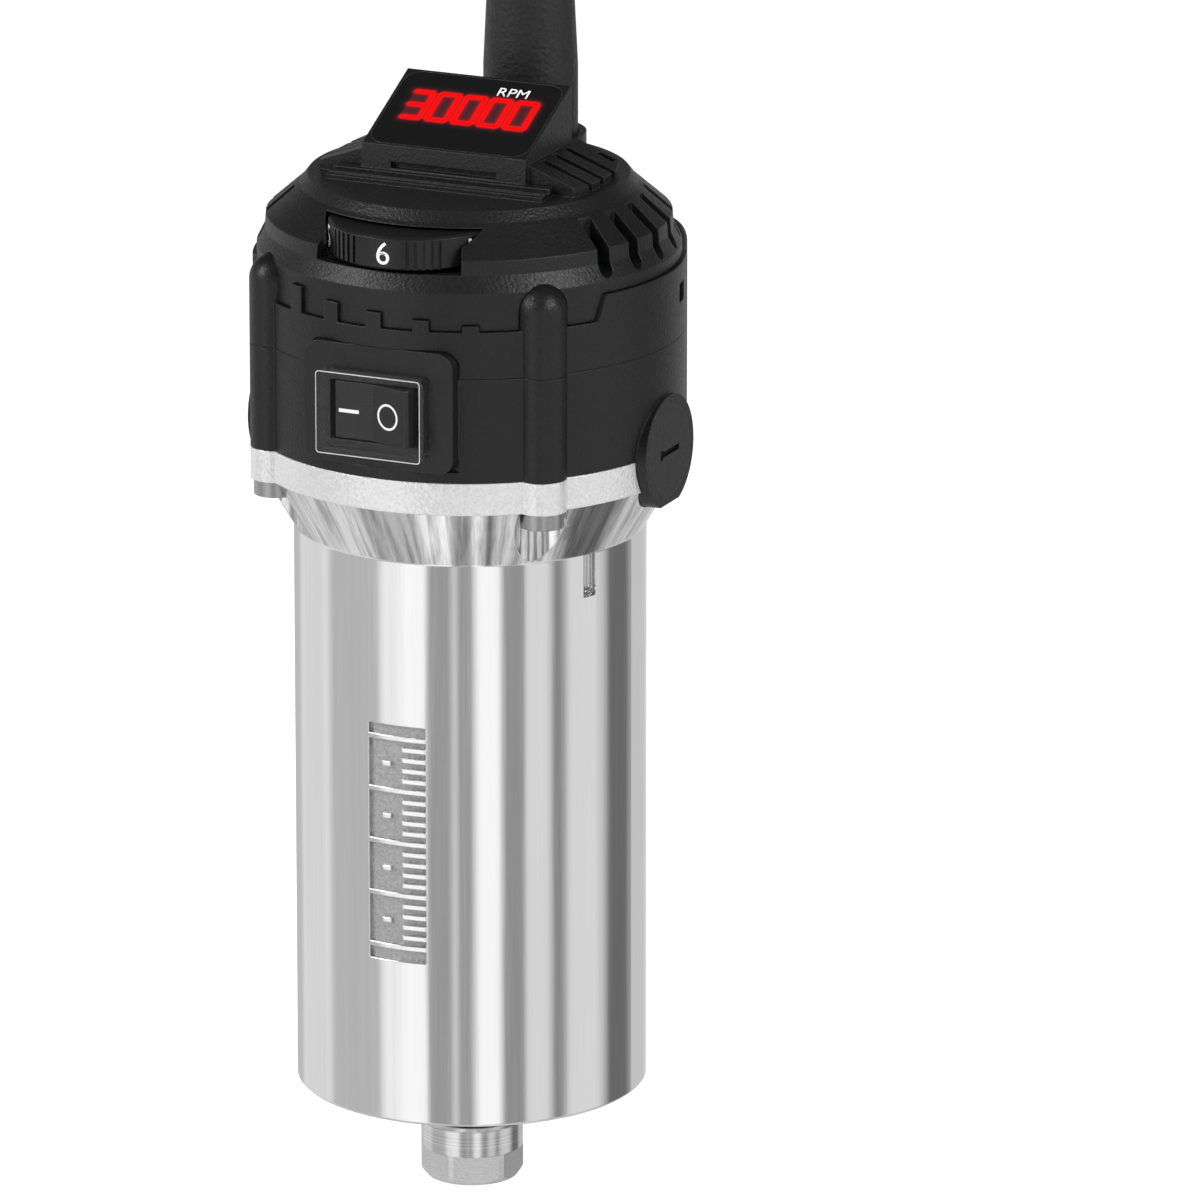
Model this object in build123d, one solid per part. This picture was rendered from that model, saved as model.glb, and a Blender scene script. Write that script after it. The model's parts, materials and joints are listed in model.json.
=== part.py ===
from build123d import *
import math
import os

os.makedirs("parts", exist_ok=True)

# Motor spindle with a 65 mm clamping body, a collet nose, a brushed motor and a control head.
# Millimetres. The origin is on the spindle axis at the lower end of the clamping wall, +Z runs up
# to the head, -Y is the front with the switch, dial and read-out, and the brushes lie along X.

# Fits and gaps
SEAT = 0.02  # radial gap of a pressed or close seat
RUN = 0.05  # radial gap of a running or sliding fit
SEAM = 0.12  # joint line between two shells
CLEAR = 0.3  # gap between pieces that pass each other
BLEND = 1.0  # depth by which a boss or rib runs into the wall that it is one with

# Clamping body
CLAMP_R = 32.5
CLAMP_L = 107.0
EDGE = 0.5  # chamfer of the bottom face, below the clamping wall
CONE_H = 11.7
FLANGE_R = 39.66
FLANGE_H = 6.0
FLANGE_STEP = 0.36
BODY_WALL = 4.5
CAVITY_WALL = 1.1
CAVITY_START = 1.0
FLOOR_T = 11.5
LIP_T = 2.5
LIP_R = 8.6
FAN_ROOM_STEP = 1.0
FAN_ROOM_L = 16.5
BORE_R = CLAMP_R - BODY_WALL
FAN_ROOM_R = BORE_R - FAN_ROOM_STEP
CAVITY_R = CLAMP_R - CAVITY_WALL
CONE_R = FLANGE_R - FLANGE_STEP
BAFFLE_Z = FLOOR_T + FAN_ROOM_L
FLANGE_Z = CLAMP_L + CONE_H
HEAD_Z = FLANGE_Z + FLANGE_H

# Depth scale recessed in the front of the clamping body
SCALE_LOW = 30.8
SCALE_LINE_LOW = 33.5
SCALE_PITCH = 10.0
SCALE_BLOCKS = 4
SCALE_TICK = 2.0
SCALE_HALF = 5.73
SCALE_DEPTH = 0.8
SCALE_END = 2.5
SCALE_LINE_T = 0.9
SCALE_INSET = 1.15  # the short marks stay this far from the middle line
SCALE_HIGH = SCALE_LINE_LOW + SCALE_BLOCKS * SCALE_PITCH + SCALE_END

# Slot milled below the cone
SIDE_SLOT_ANGLE = 67.0
SIDE_SLOT_W = 2.9
SIDE_SLOT_H = 8.0
SIDE_SLOT_DEPTH = 2.6

# Air outlets in the bottom face
OUTLET_COUNT = 6
OUTLET_INSET = 1.0
OUTLET_W = 3.5
OUTLET_ARC = 38.0
OUTLET_OUT_R = FAN_ROOM_R - OUTLET_INSET
OUTLET_IN_R = OUTLET_OUT_R - OUTLET_W

# Head shells, from the flange up
HEAD_R = FLANGE_R
HEAD_WALL = 2.6
SHELL_H = 19.5
RING_H = 8.7
SIDE_RISE = 4.8
SIDE_START = 61.0
SIDE_END = 116.0
SIDE_RAMP = 2.5
DECK_RISE = 9.9
DECK_T = 2.4
DECK_WINDOW_HALF = 16.0  # half angle of the openings between the deck and the shell
DECK_RIM = 3.0
SPLIT_Z = HEAD_Z + SHELL_H
CAP_SPLIT_Z = SPLIT_Z + RING_H
CAP_SPLIT_SIDE_Z = CAP_SPLIT_Z + SIDE_RISE
DECK_Z = HEAD_Z + DECK_RISE
SHELL_IN_R = HEAD_R - HEAD_WALL

# Top cap: an upright skirt, a slope, a narrow band, a shoulder, a rim and a flat plateau
CAP_WALL = 2.5
SKIRT_STEP = 0.76
SKIRT_H = 7.1
SLOPE_H = 3.0
SLOPE_IN = 1.5
BAND_H = 2.6
BAND_IN = 0.2
SHOULDER_H = 5.4
SHOULDER_IN = 6.2
RIM_H = 1.9
RIM_IN = 1.5
SKIRT_R = HEAD_R - SKIRT_STEP
SKIRT_TOP = CAP_SPLIT_Z + SKIRT_H
BAND_LOW = SKIRT_TOP + SLOPE_H
BAND_HIGH = BAND_LOW + BAND_H
BAND_R = SKIRT_R - SLOPE_IN
SHOULDER_TOP = BAND_HIGH + SHOULDER_H
SHOULDER_R = BAND_R - BAND_IN - SHOULDER_IN
RIM_R = SHOULDER_R - RIM_IN
PLATEAU_Z = SHOULDER_TOP + RIM_H

# Pillars that hold the head screws
PILLAR_INSET = 1.86
PILLAR_R = 4.6
PILLAR_RISE = 8.0
PILLAR_ANGLES = (45, 135, 225, 315)
SCREW_R = 2.0
SCREW_HEAD_R = 4.05
SCREW_HEAD_H = 3.0
SCALLOP_R = 4.9
SCALLOP_L = 16.7
SCREW_COVER = 4.9  # solid stuff over the screw's tip
PILLAR_CENTRE_R = HEAD_R - PILLAR_INSET
PILLAR_TOP = CAP_SPLIT_Z + PILLAR_RISE
SCREW_TIP = PILLAR_TOP - SCREW_COVER

# Spindle nose, M14 x 0.75 with an 8 degree collet seat
NOSE_R = 7.0
NOSE_END = -15.6
NOSE_CHAMFER = 0.5
NUT_TOP = -8.9
NUT_SKIRT_R = 9.5
NUT_SKIRT_H = 5.6
NUT_SKIRT_CHAMFER = 0.6
NUT_HEX_AF = 17.0
NUT_HEX_H = 5.7
NUT_HEX_CHAMFER = 1.2
NUT_GAP = 0.1
NUT_RELIEF = 0.25
COLLAR_R = 8.0
COLLAR_FLAT_AF = 13.0
COLLAR_FLAT_H = 6.4
COLLAR_FLAT_RISE = 1.2
TAPER = math.tan(math.radians(8))
FACE_TAPER = math.tan(math.radians(30))
COLLET_R = 5.75
COLLET_BORE_R = 3.175
COLLET_L = 18.0
COLLET_FRONT = -19.8
COLLET_FACE_R = 4.5
COLLET_LAND = 0.8
COLLET_GROOVE_R = 5.0
COLLET_GROOVE_L = 1.2
COLLET_TAIL_R = 4.0
COLLET_SLOTS = 4
COLLET_SLOT_W = 0.6
COLLET_SLOT_START = 30.0
COLLET_SLOT_END = 3.0
TOOL_BORE_R = 3.6
TOOL_BORE_DEPTH = 30.0

# Front bearing, 15 x 32 x 9
FRONT_BORE_R = 7.5
FRONT_OUT_R = 16.0
FRONT_W = 9.0
FRONT_BALL_R = 2.38
FRONT_BALLS = 9
RETAINER_T = 1.5
RETAINER_R = 18.2
RETAINER_BORE_R = 13.6
RETAINER_EAR_R = 3.0
RETAINER_ANGLES = (30, 150, 270)
RETAINER_SCREW_R = 1.5
RETAINER_SCREW_HEAD_R = 2.6
RETAINER_SCREW_HEAD_H = 1.8
RETAINER_SCREW_CENTRE_R = 18.8
RETAINER_HOLE_LOW = LIP_T + 1.0

# Rear bearing, 8 x 22 x 7
REAR_BORE_R = 4.0
REAR_OUT_R = 11.0
REAR_W = 7.0
REAR_RISE = 4.0
REAR_BALL_R = 1.98
REAR_BALLS = 7
WASHER_T = 0.6
WASHER_W = 2.2
REAR_SEAT_WALL = 3.0
REAR_Z = DECK_Z + REAR_RISE
REAR_SEAT_TOP = REAR_Z + REAR_W + WASHER_T + 0.1

# Brush gear
BRUSH_DROP = 0.3
BRUSH_W = 6.0
BRUSH_H = 9.0
BRUSH_L = 12.0
HOLDER_WALL = 0.9
HOLDER_IN = 14.5
HOLDER_INSET = 6.8
BOX_WALL = 2.5
BOSS_R = 10.65
BOSS_PROUD = 0.54
BOSS_FLAT = 9.8
BOSS_ROOT = 10.8
CAP_R = 8.8
CAP_T = 2.0
CAP_THREAD_R = 7.5
CAP_HOLLOW_R = 5.5
CAP_FLOOR = 0.8
CAP_SLOT_L = 8.5
CAP_SLOT_W = 1.1
CAP_NOTCH_L = 1.4
CAP_NOTCH_W = 1.9
TERMINAL_R = 6.4
TERMINAL_T = 0.8
SPRING_R = 2.4
SPRING_WIRE = 0.6
SPRING_TURNS = 5
SPRING_GAP = 0.1
SIDES = (("left", -1), ("right", 1))
BRUSH_Z = HEAD_Z - BRUSH_DROP
BOSS_FACE = HEAD_R + BOSS_PROUD
HOLDER_OUT = BOSS_FACE - HOLDER_INSET
TERMINAL_X = HOLDER_OUT + 0.2

# Motor
FAN_Z = 15.9
FAN_H = 10.0
FAN_GAP = 2.0
FAN_HUB_R = 10.0
FAN_PLATE_T = 1.5
FAN_BLADES = 11
FAN_BLADE_T = 1.4
FAN_BLADE_LEAN = 22.0
BAFFLE_T = 2.0
BAFFLE_BORE_R = 19.0
BAFFLE_SKIRT_T = 1.65
COMM_R = 11.5
COMM_HUB_R = 8.8
COMM_L = 21.4
COMM_RISER_R = 13.0
COMM_RISER_H = 2.0
COMM_BARS = 24
COMM_GAP = 0.4
COMM_CHAMFER = 0.4
STACK_L = 45.0
COMM_TO_STACK = 17.0
AIR_GAP = 0.4
YOKE_T = 5.0
POLE_HALF_ANGLE = 54.0
COIL_HALF_ANGLE = 86.0
COIL_END_H = 8.0
COIL_GAP = 0.3
COIL_INSULATION = 0.8
COIL_T = 4.5
SHAFT_LOW_R = 7.0
SHAFT_R = 6.0
SHAFT_STEP_DROP = 7.0
REAR_SHOULDER = 1.0
ARMATURE_SLOTS = 12
SLOT_W = 3.2
SLOT_MOUTH_W = 1.8
SLOT_ROOT_R = 9.5
SLOT_TOP_DEPTH = 1.6
SLOT_LINER = 0.1
WINDING_END_H = 9.0
WINDING_ROUND = 2.5
MAGNET_R = 7.0
MAGNET_H = 4.0
MAGNET_ROOM = 1.0
TAIL_R = 3.0
COMM_DROP = 12.4
FAN_R = FAN_ROOM_R - FAN_GAP
ARMATURE_R = BORE_R - YOKE_T - COIL_GAP - COIL_T - COIL_INSULATION - AIR_GAP
SLOT_TOP_R = ARMATURE_R - SLOT_TOP_DEPTH
COMM_LOW = BRUSH_Z - COMM_DROP
STATOR_Z = COMM_LOW - COMM_TO_STACK - STACK_L
SHAFT_STEP_Z = STATOR_Z - WINDING_END_H - SHAFT_STEP_DROP

# Bars of growing height on the joint line below the dial
BAR_PITCH = 13.2
BAR_W = 3.0
BAR_CENTRE = -1.2
BAR_HEIGHTS = (4.9, 3.6, 2.9, 2.1, 1.2)

# Snap windows in the middle ring
SNAP_ANGLE = 102.5
SNAP_W = 4.0
SNAP_H = 3.6
SNAP_DROP = 7.2
SNAP_DEPTH = 1.2

# Switch, 21 x 15 mm rocker type under a clear cover
PANEL_HALF = 14.8
PANEL_INSET = 0.36
PANEL_RISE = 2.1
PANEL_H = 22.5
PANEL_T = 3.0
PANEL_CORNER = 3.0
SWITCH_RISE = 10.5
SWITCH_W = 18.8
SWITCH_H = 12.8
SWITCH_DEPTH = 13.0
SWITCH_FRAME_W = 19.4
SWITCH_FRAME_H = 14.0
SWITCH_FRAME_T = 1.5
SWITCH_FIT = 0.1
ROCKER_HALF = 7.4
ROCKER_NOSE = 0.5
ROCKER_H = 10.6
ROCKER_TILT = 8.5
ROCKER_SINK = 0.9
ROCKER_RISE = 2.3
ROCKER_ROOM = 1.0
ROCKER_UNDERSIDE = ((7.7, -0.4), (3.6, -1.6), (1.6, -4.2), (0.0, -4.6))
ROCKER_LIP = 0.7
ROCKER_WELL = 5.5
ROCKER_PIN_R = 1.0
ROCKER_PIN_L = 0.6
COVER_W = 20.8
COVER_H = 15.4
COVER_T = 4.5
COVER_WALL = 0.6
COVER_CORNER = 1.2
TAB_W = 4.8
TAB_T = 0.8
TAB_L = 6.0
TAB_PLACES = (-7.0, 0.0)
PANEL_FACE = HEAD_R - PANEL_INSET
PANEL_LOW = HEAD_Z + PANEL_RISE
PANEL_HIGH = PANEL_LOW + PANEL_H
SWITCH_Z = PANEL_LOW + SWITCH_RISE
ROCKER_PIVOT = PANEL_FACE - ROCKER_SINK

# Speed dial
DIAL_R = 15.9
DIAL_INSET = 0.86  # the wheel's front stays this far inside the head's circle
DIAL_T = 6.1
DIAL_CHAMFER = 0.4
DIAL_PADS = 6
DIAL_GROOVES = 5
DIAL_GROOVE_PITCH = 5.3
DIAL_GROOVE_W = 0.7
DIAL_GROOVE_D = 0.55
DIAL_GROOVE_TOP = 0.6
DIAL_RIM_T = 2.2
DIAL_HUB_R = 5.0
DIAL_HUB_L = 2.5
DIAL_WEB_T = 2.0
DIAL_SHAFT_COVER = 1.2
DIAL_SLOT_HALF = 22.7
DIAL_SLOT_H = 7.3
DIAL_SLOT_DEPTH = 12.0
DIAL_GAP_LOW = 0.7
DIAL_ROOM = 0.5
POT_R = 7.8
POT_H = 6.4
POT_SHAFT_R = 3.0
DIAL_Y = -(HEAD_R - DIAL_INSET - DIAL_R)
DIAL_SLOT_LOW = BAND_LOW
DIAL_SLOT_HIGH = DIAL_SLOT_LOW + DIAL_SLOT_H
DIAL_LOW = DIAL_SLOT_LOW + DIAL_GAP_LOW

# Vent slots in the shoulder
VENT_ANGLES = (65.5, 77.75, 90.0, 102.25, 114.5)
VENT_W = 2.9
VENT_INSET = 2.3
VENT_DROP = 0.4
VENT_IN_R = RIM_R + VENT_INSET
VENT_LOW = SKIRT_TOP + VENT_DROP

# Control board
BOARD_DROP = 0.5
BOARD_T = 1.6
BOARD_INSET = 5.46
LUG_T = 2.0
LUG_L = 9.3
LUG_W = 6.0
BOARD_SCREW_R = 1.2
BOARD_SCREW_HEAD_R = 2.2
BOARD_SCREW_HEAD_H = 1.4
BOARD_SCREW_INSET = 1.0
BOARD_Z = CAP_SPLIT_Z - BOARD_DROP
BOARD_R = SHELL_IN_R - BOARD_INSET
BOARD_SCREW_CENTRE_R = BOARD_R - BOARD_SCREW_INSET

# Read-out turret
LENS_TILT = 25.7
LENS_Y = -1.05
LENS_RISE = 10.9
LENS_W = 31.8
LENS_L = 20.75
LENS_T = 1.6
LENS_CORNER = 3.2
LIP = 0.5
TURRET_FOOT = 0.6
TURRET_BACK_STEP = 0.3
TURRET_TOP_STEP = 0.5
TURRET_WALL = 1.8
TURRET_SLOT_HALF = 10.6
TURRET_SLOT_RISE = 2.0
TURRET_SLOT_H = 1.2
TURRET_SLOT_DEPTH = 0.8
DIGIT_W = 28.0
DIGIT_L = 13.0
DIGIT_T = 5.0
DIGIT_SHIFT = -1.5
DIGIT_CORNER = 0.3
DISPLAY_BOARD_L = 12.0
LENS_Z = PLATEAU_Z + LENS_RISE

# Ribbed wings beside the turret and the ledge in front of it
WING_IN_RISE = 5.3
WING_OUT = 26.6
WING_OUT_RISE = 1.4
WING_FRONT = -10.0
WING_BACK = 11.5
WING_INSET = 2.2
WING_GROOVES = (-5.0, 0.0, 5.0)
WING_GROOVE_W = 1.7
WING_GROOVE_IN = 1.1
WING_SHORT_GROOVE = (21.3, 24.6, 10.0)
LEDGE_HALF = 21.7
LEDGE_STEPS = ((-10.5, -15.8, 0.9), (-10.5, -12.6, 1.7), (-13.1, -14.6, 1.3))
LEDGE_CORNER = 0.7
WING_R = RIM_R - WING_INSET

# Cord entry at the back of the cap
CORD_D = 7.2
BOOT_INSET = 12.66
BOOT_R = 8.75
BOOT_SINK = 6.9
BOOT_STRAIGHT = 21.0
BOOT_TOP_R = 5.5
BOOT_L = 89.0
BOOT_TOP_CHAMFER = 0.8
BOOT_FIT = 0.1
GLAND_R = 10.3
GLAND_RISE = 1.4
CLAMP_BLOCK_HALF = 10.0
CLAMP_BLOCK_DEPTH = 6.0
CLAMP_BLOCK_RISE = 2.6
STRAP_T = 2.6
STRAP_H = 6.0
STRAP_SCREW_X = 7.2
STRAP_SCREW_R = 1.4
STRAP_SCREW_HEAD_R = 2.5
STRAP_SCREW_HEAD_H = 1.6
STRAP_SCREW_L = 7.0
LEAD_RISE = 1.4
BOOT_Y = HEAD_R - BOOT_INSET
BOOT_LOW = PLATEAU_Z - BOOT_SINK
BOOT_TOP = BOOT_LOW + BOOT_L
GLAND_TOP = PLATEAU_Z + GLAND_RISE
CLAMP_BLOCK_LOW = BOARD_Z + BOARD_T + CLAMP_BLOCK_RISE
LEAD_LOW = BOARD_Z + BOARD_T + LEAD_RISE
STRAP_Z = CLAMP_BLOCK_LOW + STRAP_H / 2 + SEAM
STRAP_FACE = BOOT_Y - CORD_D / 2

# Cord route in a plane through the boot that runs back and to the left: (distance, height)
ROUTE_DIR = (-0.4115, 0.911)
ROUTE = ((0.0, 255.0), (0.0, 288.0), (24.0, 319.0), (65.0, 324.0), (98.0, 302.0), (107.0, 262.0),
         (102.0, 215.0), (102.8, 168.0), (102.0, 122.0))

# Hank that stores the rest of the cord behind the body, each layer a cord's width to the left
FOLD_R = 3 * CORD_D
HANK_FAR = 102.0
HANK_TOP = 122.0
HANK_BOTTOM = -2.0
HANK_LAYERS = 4
WAIST_HALF = 15.5
WAIST_H = 20.0
TIE_T = 1.2
TIE_H = 13.0

# Tail of the cord in the last layer: down, round under the folds and up to the plug
TAIL = ((102.0, 26.0), (102.0, -2.0), (81.0, -24.0), (51.5, -24.0), (30.5, -2.0), (30.5, 26.0))

# Two-blade plug
PLUG_L = 28.0
PLUG_W = 24.0
PLUG_T = 15.0
PLUG_CORNER = 5.0
PLUG_NECK_W = 17.0
PLUG_NECK_T = 12.0
PLUG_NECK_L = 9.0
PLUG_NECK_CORNER = 4.0
PLUG_RELIEF_L = 14.0
PLUG_RELIEF_R = 5.5
PLUG_RELIEF_WALL = 0.9
BLADE_L = 17.0
BLADE_W = 6.3
BLADE_T = 1.5
BLADE_PITCH = 12.7


def turned(points):
    """Solid turned about the spindle axis from a closed (radius, height) outline."""
    outline = Polyline(*[(r, 0, z) for r, z in points], close=True)
    return revolve(make_face(outline), Axis.Z)


def disc(radius, low, high, x=0.0, y=0.0):
    """Upright cylinder between two heights."""
    return Pos(x, y, (low + high) / 2) * Cylinder(radius, high - low)


def ring(outer, inner, low, high):
    """Upright ring about the spindle axis."""
    return disc(outer, low, high) - disc(inner, low - 1, high + 1)


def block(x0, x1, y0, y1, z0, z1):
    """Box between two corners."""
    size = Box(x1 - x0, y1 - y0, z1 - z0)
    return Pos((x0 + x1) / 2, (y0 + y1) / 2, (z0 + z1) / 2) * size


def across(radius, x0, x1, z):
    """Cylinder along X between two distances from the axis."""
    turned_rod = Rot(0, 90, 0) * Cylinder(radius, x1 - x0)
    return Pos((x0 + x1) / 2, 0, z) * turned_rod


def along_y(radius, y0, y1, x, z):
    """Cylinder along Y."""
    return Pos(x, (y0 + y1) / 2, z) * Rot(90, 0, 0) * Cylinder(radius, y1 - y0)


def on_circle(radius, degrees):
    """Point on a circle, with the angle counted from the front (-Y) towards +X."""
    angle = math.radians(degrees)
    return radius * math.sin(angle), -radius * math.cos(angle)


def wedge(start, end, low, high, reach=60.0):
    """Tall wedge between two angles counted from the front, used to cut sectors."""
    middle = (start + end) / 2
    points = [(0, 0), on_circle(reach, start), on_circle(reach * 1.3, middle), on_circle(reach, end)]
    return Pos(0, 0, low) * extrude(make_face(Polyline(*points, close=True)), high - low)


def sector(outer, inner, start, end, low, high):
    """Piece of a ring between two angles counted from the front."""
    return ring(outer, inner, low, high) & wedge(start, end, low - 1, high + 1)


def rounded_bar(width, height, depth, corner):
    """Flat bar with rounded corners, its face in the XY plane, growing along +Z."""
    return extrude(RectangleRounded(width, height, corner), depth)


def pillar_places():
    """Centres of the four pillars."""
    return [on_circle(PILLAR_CENTRE_R, angle) for angle in PILLAR_ANGLES]


def each_at(places, shape):
    """Copies of one shape at several places in the XY plane."""
    return [Pos(x, y, 0) * shape for x, y in places]


def joined(shapes):
    """One body from a list of touching shapes."""
    total = shapes[0]
    for shape in shapes[1:]:
        total = total + shape
    return total


def without(body, cuts):
    """Body with each cut taken out in turn."""
    for cut in cuts:
        body = body - cut
    return body


def save(name, shape):
    """Write one sub-part."""
    export_step(shape, f"parts/{name}.step")


def group(name, shapes):
    """Write several separate solids as one sub-part."""
    save(name, Compound(children=[s for shape in shapes for s in shape.solids()]))


# Clamping body: turned aluminium tube with a floor, a cone and a cast flange

def scale_cut():
    """Recess of the depth scale with its raised lines left standing."""
    top = CLAMP_R + 1
    floor = CLAMP_R - SCALE_DEPTH
    cut = ring(top, floor, SCALE_LOW, SCALE_HIGH) & block(
        -SCALE_HALF, SCALE_HALF, -top, 0, SCALE_LOW, SCALE_HIGH)
    lines = []
    for step in range(SCALE_BLOCKS + 1):
        z = SCALE_LINE_LOW + step * SCALE_PITCH
        lines.append((-SCALE_HALF, SCALE_HALF, z))
    for step in range(SCALE_BLOCKS):
        low = SCALE_LINE_LOW + step * SCALE_PITCH
        lines.append((-SCALE_HALF / 2, -SCALE_INSET, low + SCALE_PITCH / 2))
        for tick in range(1, int(SCALE_PITCH / SCALE_TICK)):
            lines.append((SCALE_INSET, SCALE_HALF, low + tick * SCALE_TICK))
    half = SCALE_LINE_T / 2
    return without(cut, [block(x0, x1, -top, 0, z - half, z + half) for x0, x1, z in lines])


def clamp_body():
    outer = turned([(0, -EDGE), (CLAMP_R - EDGE, -EDGE), (CLAMP_R, 0), (CLAMP_R, CLAMP_L),
                    (CONE_R, FLANGE_Z), (FLANGE_R, FLANGE_Z), (FLANGE_R, HEAD_Z), (0, HEAD_Z)])
    ears = each_at(pillar_places(), disc(PILLAR_R, FLANGE_Z, HEAD_Z))
    cavity_low = CLAMP_L - CAVITY_START
    inside = turned([(0, -EDGE - 1), (LIP_R, -EDGE - 1), (LIP_R, LIP_T), (FRONT_OUT_R + SEAT, LIP_T),
                     (FRONT_OUT_R + SEAT, FLOOR_T), (FAN_ROOM_R, FLOOR_T), (FAN_ROOM_R, BAFFLE_Z),
                     (BORE_R, BAFFLE_Z), (BORE_R, cavity_low),
                     (CAVITY_R, cavity_low + CAVITY_R - BORE_R), (CAVITY_R, HEAD_Z + 1),
                     (0, HEAD_Z + 1)])
    body = joined([outer] + ears) - inside
    step = 360 / OUTLET_COUNT
    outlets = [sector(OUTLET_OUT_R, OUTLET_IN_R, i * step - OUTLET_ARC / 2,
                      i * step + OUTLET_ARC / 2, -EDGE - 1, FLOOR_T + 1) for i in range(OUTLET_COUNT)]
    screw_holes = each_at(retainer_places(), disc(RETAINER_SCREW_R + RUN, RETAINER_HOLE_LOW, FLOOR_T + 1))
    scallops = each_at(pillar_places(), disc(SCALLOP_R, FLANGE_Z - SCALLOP_L, FLANGE_Z))
    ear_holes = each_at(pillar_places(), disc(SCREW_R + CLEAR, FLANGE_Z - 1, HEAD_Z + 1))
    notch = across(BOSS_R + SEAM, SHELL_IN_R - BOSS_ROOT, BOSS_FACE + 1, BRUSH_Z)
    notches = [notch, mirror(notch, Plane.YZ)]
    x, y = on_circle(CLAMP_R, SIDE_SLOT_ANGLE)
    milled = Pos(x, y, CLAMP_L - SIDE_SLOT_H / 2) * Rot(0, 0, SIDE_SLOT_ANGLE) * Box(
        SIDE_SLOT_W, 2 * SIDE_SLOT_DEPTH, SIDE_SLOT_H)
    return without(body, outlets + screw_holes + scallops + ear_holes + notches
                   + [milled, scale_cut()])


def retainer_places():
    """Centres of the three screws that hold the front bearing's plate."""
    return [on_circle(RETAINER_SCREW_CENTRE_R, angle) for angle in RETAINER_ANGLES]


def bearing_retainer():
    """Plate with three ears that holds the front bearing in its seat."""
    plate = ring(RETAINER_R, RETAINER_BORE_R, FLOOR_T, FLOOR_T + RETAINER_T)
    ears = each_at(retainer_places(), disc(RETAINER_EAR_R, FLOOR_T, FLOOR_T + RETAINER_T))
    holes = each_at(retainer_places(), disc(RETAINER_SCREW_R + RUN, FLOOR_T - 1, FLOOR_T + 5))
    return without(joined([plate] + ears), holes)


def pan_screw(radius, head_radius, head_h, tip, seat):
    """Screw with its head above the seat and its shank below."""
    return disc(radius, tip, seat) + disc(head_radius, seat, seat + head_h)


def retainer_screws():
    seat = FLOOR_T + RETAINER_T
    screw = pan_screw(RETAINER_SCREW_R, RETAINER_SCREW_HEAD_R, RETAINER_SCREW_HEAD_H,
                      RETAINER_HOLE_LOW + CLEAR, seat)
    return each_at(retainer_places(), screw)


def housing_screws():
    screw = disc(SCREW_HEAD_R, FLANGE_Z - SCREW_HEAD_H, FLANGE_Z) + disc(SCREW_R, FLANGE_Z, SCREW_TIP)
    return each_at(pillar_places(), screw)


# Ball bearings

def ball_bearing(bore_r, outer_r, width, ball_r, balls, low):
    """Inner ring, outer ring, cage and balls of a deep groove bearing that starts at a height."""
    pitch_r = (bore_r + outer_r) / 2
    middle = low + width / 2
    land = ball_r * 0.55
    groove = Pos(0, 0, middle) * Torus(pitch_r, ball_r + RUN)
    inner = ring(pitch_r - land, bore_r + SEAT, low, low + width) - groove
    outer = ring(outer_r, pitch_r + land, low, low + width) - groove
    ball = Pos(pitch_r, 0, middle) * Sphere(ball_r)
    turns = [Rot(0, 0, i * 360 / balls) for i in range(balls)]
    cage_wall = land - CLEAR
    cage = ring(pitch_r + cage_wall, pitch_r - cage_wall, middle - ball_r / 3, low + width - CLEAR)
    pocket = Pos(pitch_r, 0, middle) * Sphere(ball_r + RUN)
    cage = without(cage, [turn * pocket for turn in turns])
    return inner, outer, cage, [turn * ball for turn in turns]


# Spindle: shaft, collet and nut

def collet_land_low():
    """Height where the collet's front chamfer ends."""
    return COLLET_FRONT + (COLLET_R - COLLET_FACE_R) / FACE_TAPER


def collet_cone_low():
    """Height where the collet's long taper starts, behind its groove."""
    return collet_land_low() + COLLET_LAND + COLLET_GROOVE_L


def taper_radius(z):
    """Radius of the collet's long taper at a height."""
    return COLLET_R - (z - collet_cone_low()) * TAPER


def spindle_shaft():
    """Spindle from the threaded nose to the magnet, with the collet's seat in its nose."""
    tail_low = REAR_Z + REAR_W
    shoulder = COMM_LOW + COMM_L + REAR_SHOULDER
    shaft = turned([
        (0, NOSE_END), (NOSE_R - NOSE_CHAMFER, NOSE_END), (NOSE_R, NOSE_END + NOSE_CHAMFER),
        (NOSE_R, NUT_TOP + CLEAR), (COLLAR_R, NUT_TOP + CLEAR), (COLLAR_R, LIP_T),
        (FRONT_BORE_R, LIP_T), (FRONT_BORE_R, FLOOR_T + RETAINER_T), (SHAFT_LOW_R, FLOOR_T + RETAINER_T),
        (SHAFT_LOW_R, SHAFT_STEP_Z), (SHAFT_R, SHAFT_STEP_Z), (SHAFT_R, shoulder),
        (REAR_BORE_R + REAR_SHOULDER, shoulder), (REAR_BORE_R + REAR_SHOULDER, REAR_Z),
        (REAR_BORE_R, REAR_Z), (REAR_BORE_R, tail_low), (TAIL_R, tail_low),
        (TAIL_R, tail_low + MAGNET_H + 1), (0, tail_low + MAGNET_H + 1)])
    seat_top = COLLET_FRONT + COLLET_L + 1
    tool_top = COLLET_FRONT + TOOL_BORE_DEPTH
    seat = turned([(0, NOSE_END - 1), (taper_radius(NOSE_END) + RUN, NOSE_END - 1),
                   (taper_radius(NOSE_END) + RUN, NOSE_END),
                   (max(taper_radius(seat_top), COLLET_TAIL_R) + RUN, seat_top),
                   (TOOL_BORE_R, seat_top), (TOOL_BORE_R, tool_top), (0, tool_top)])
    flat_low = NUT_TOP + COLLAR_FLAT_RISE
    side = block(-COLLAR_R, COLLAR_R, COLLAR_FLAT_AF / 2, COLLAR_R, flat_low, flat_low + COLLAR_FLAT_H)
    return without(shaft, [seat, side, mirror(side, Plane.XZ)])


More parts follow.
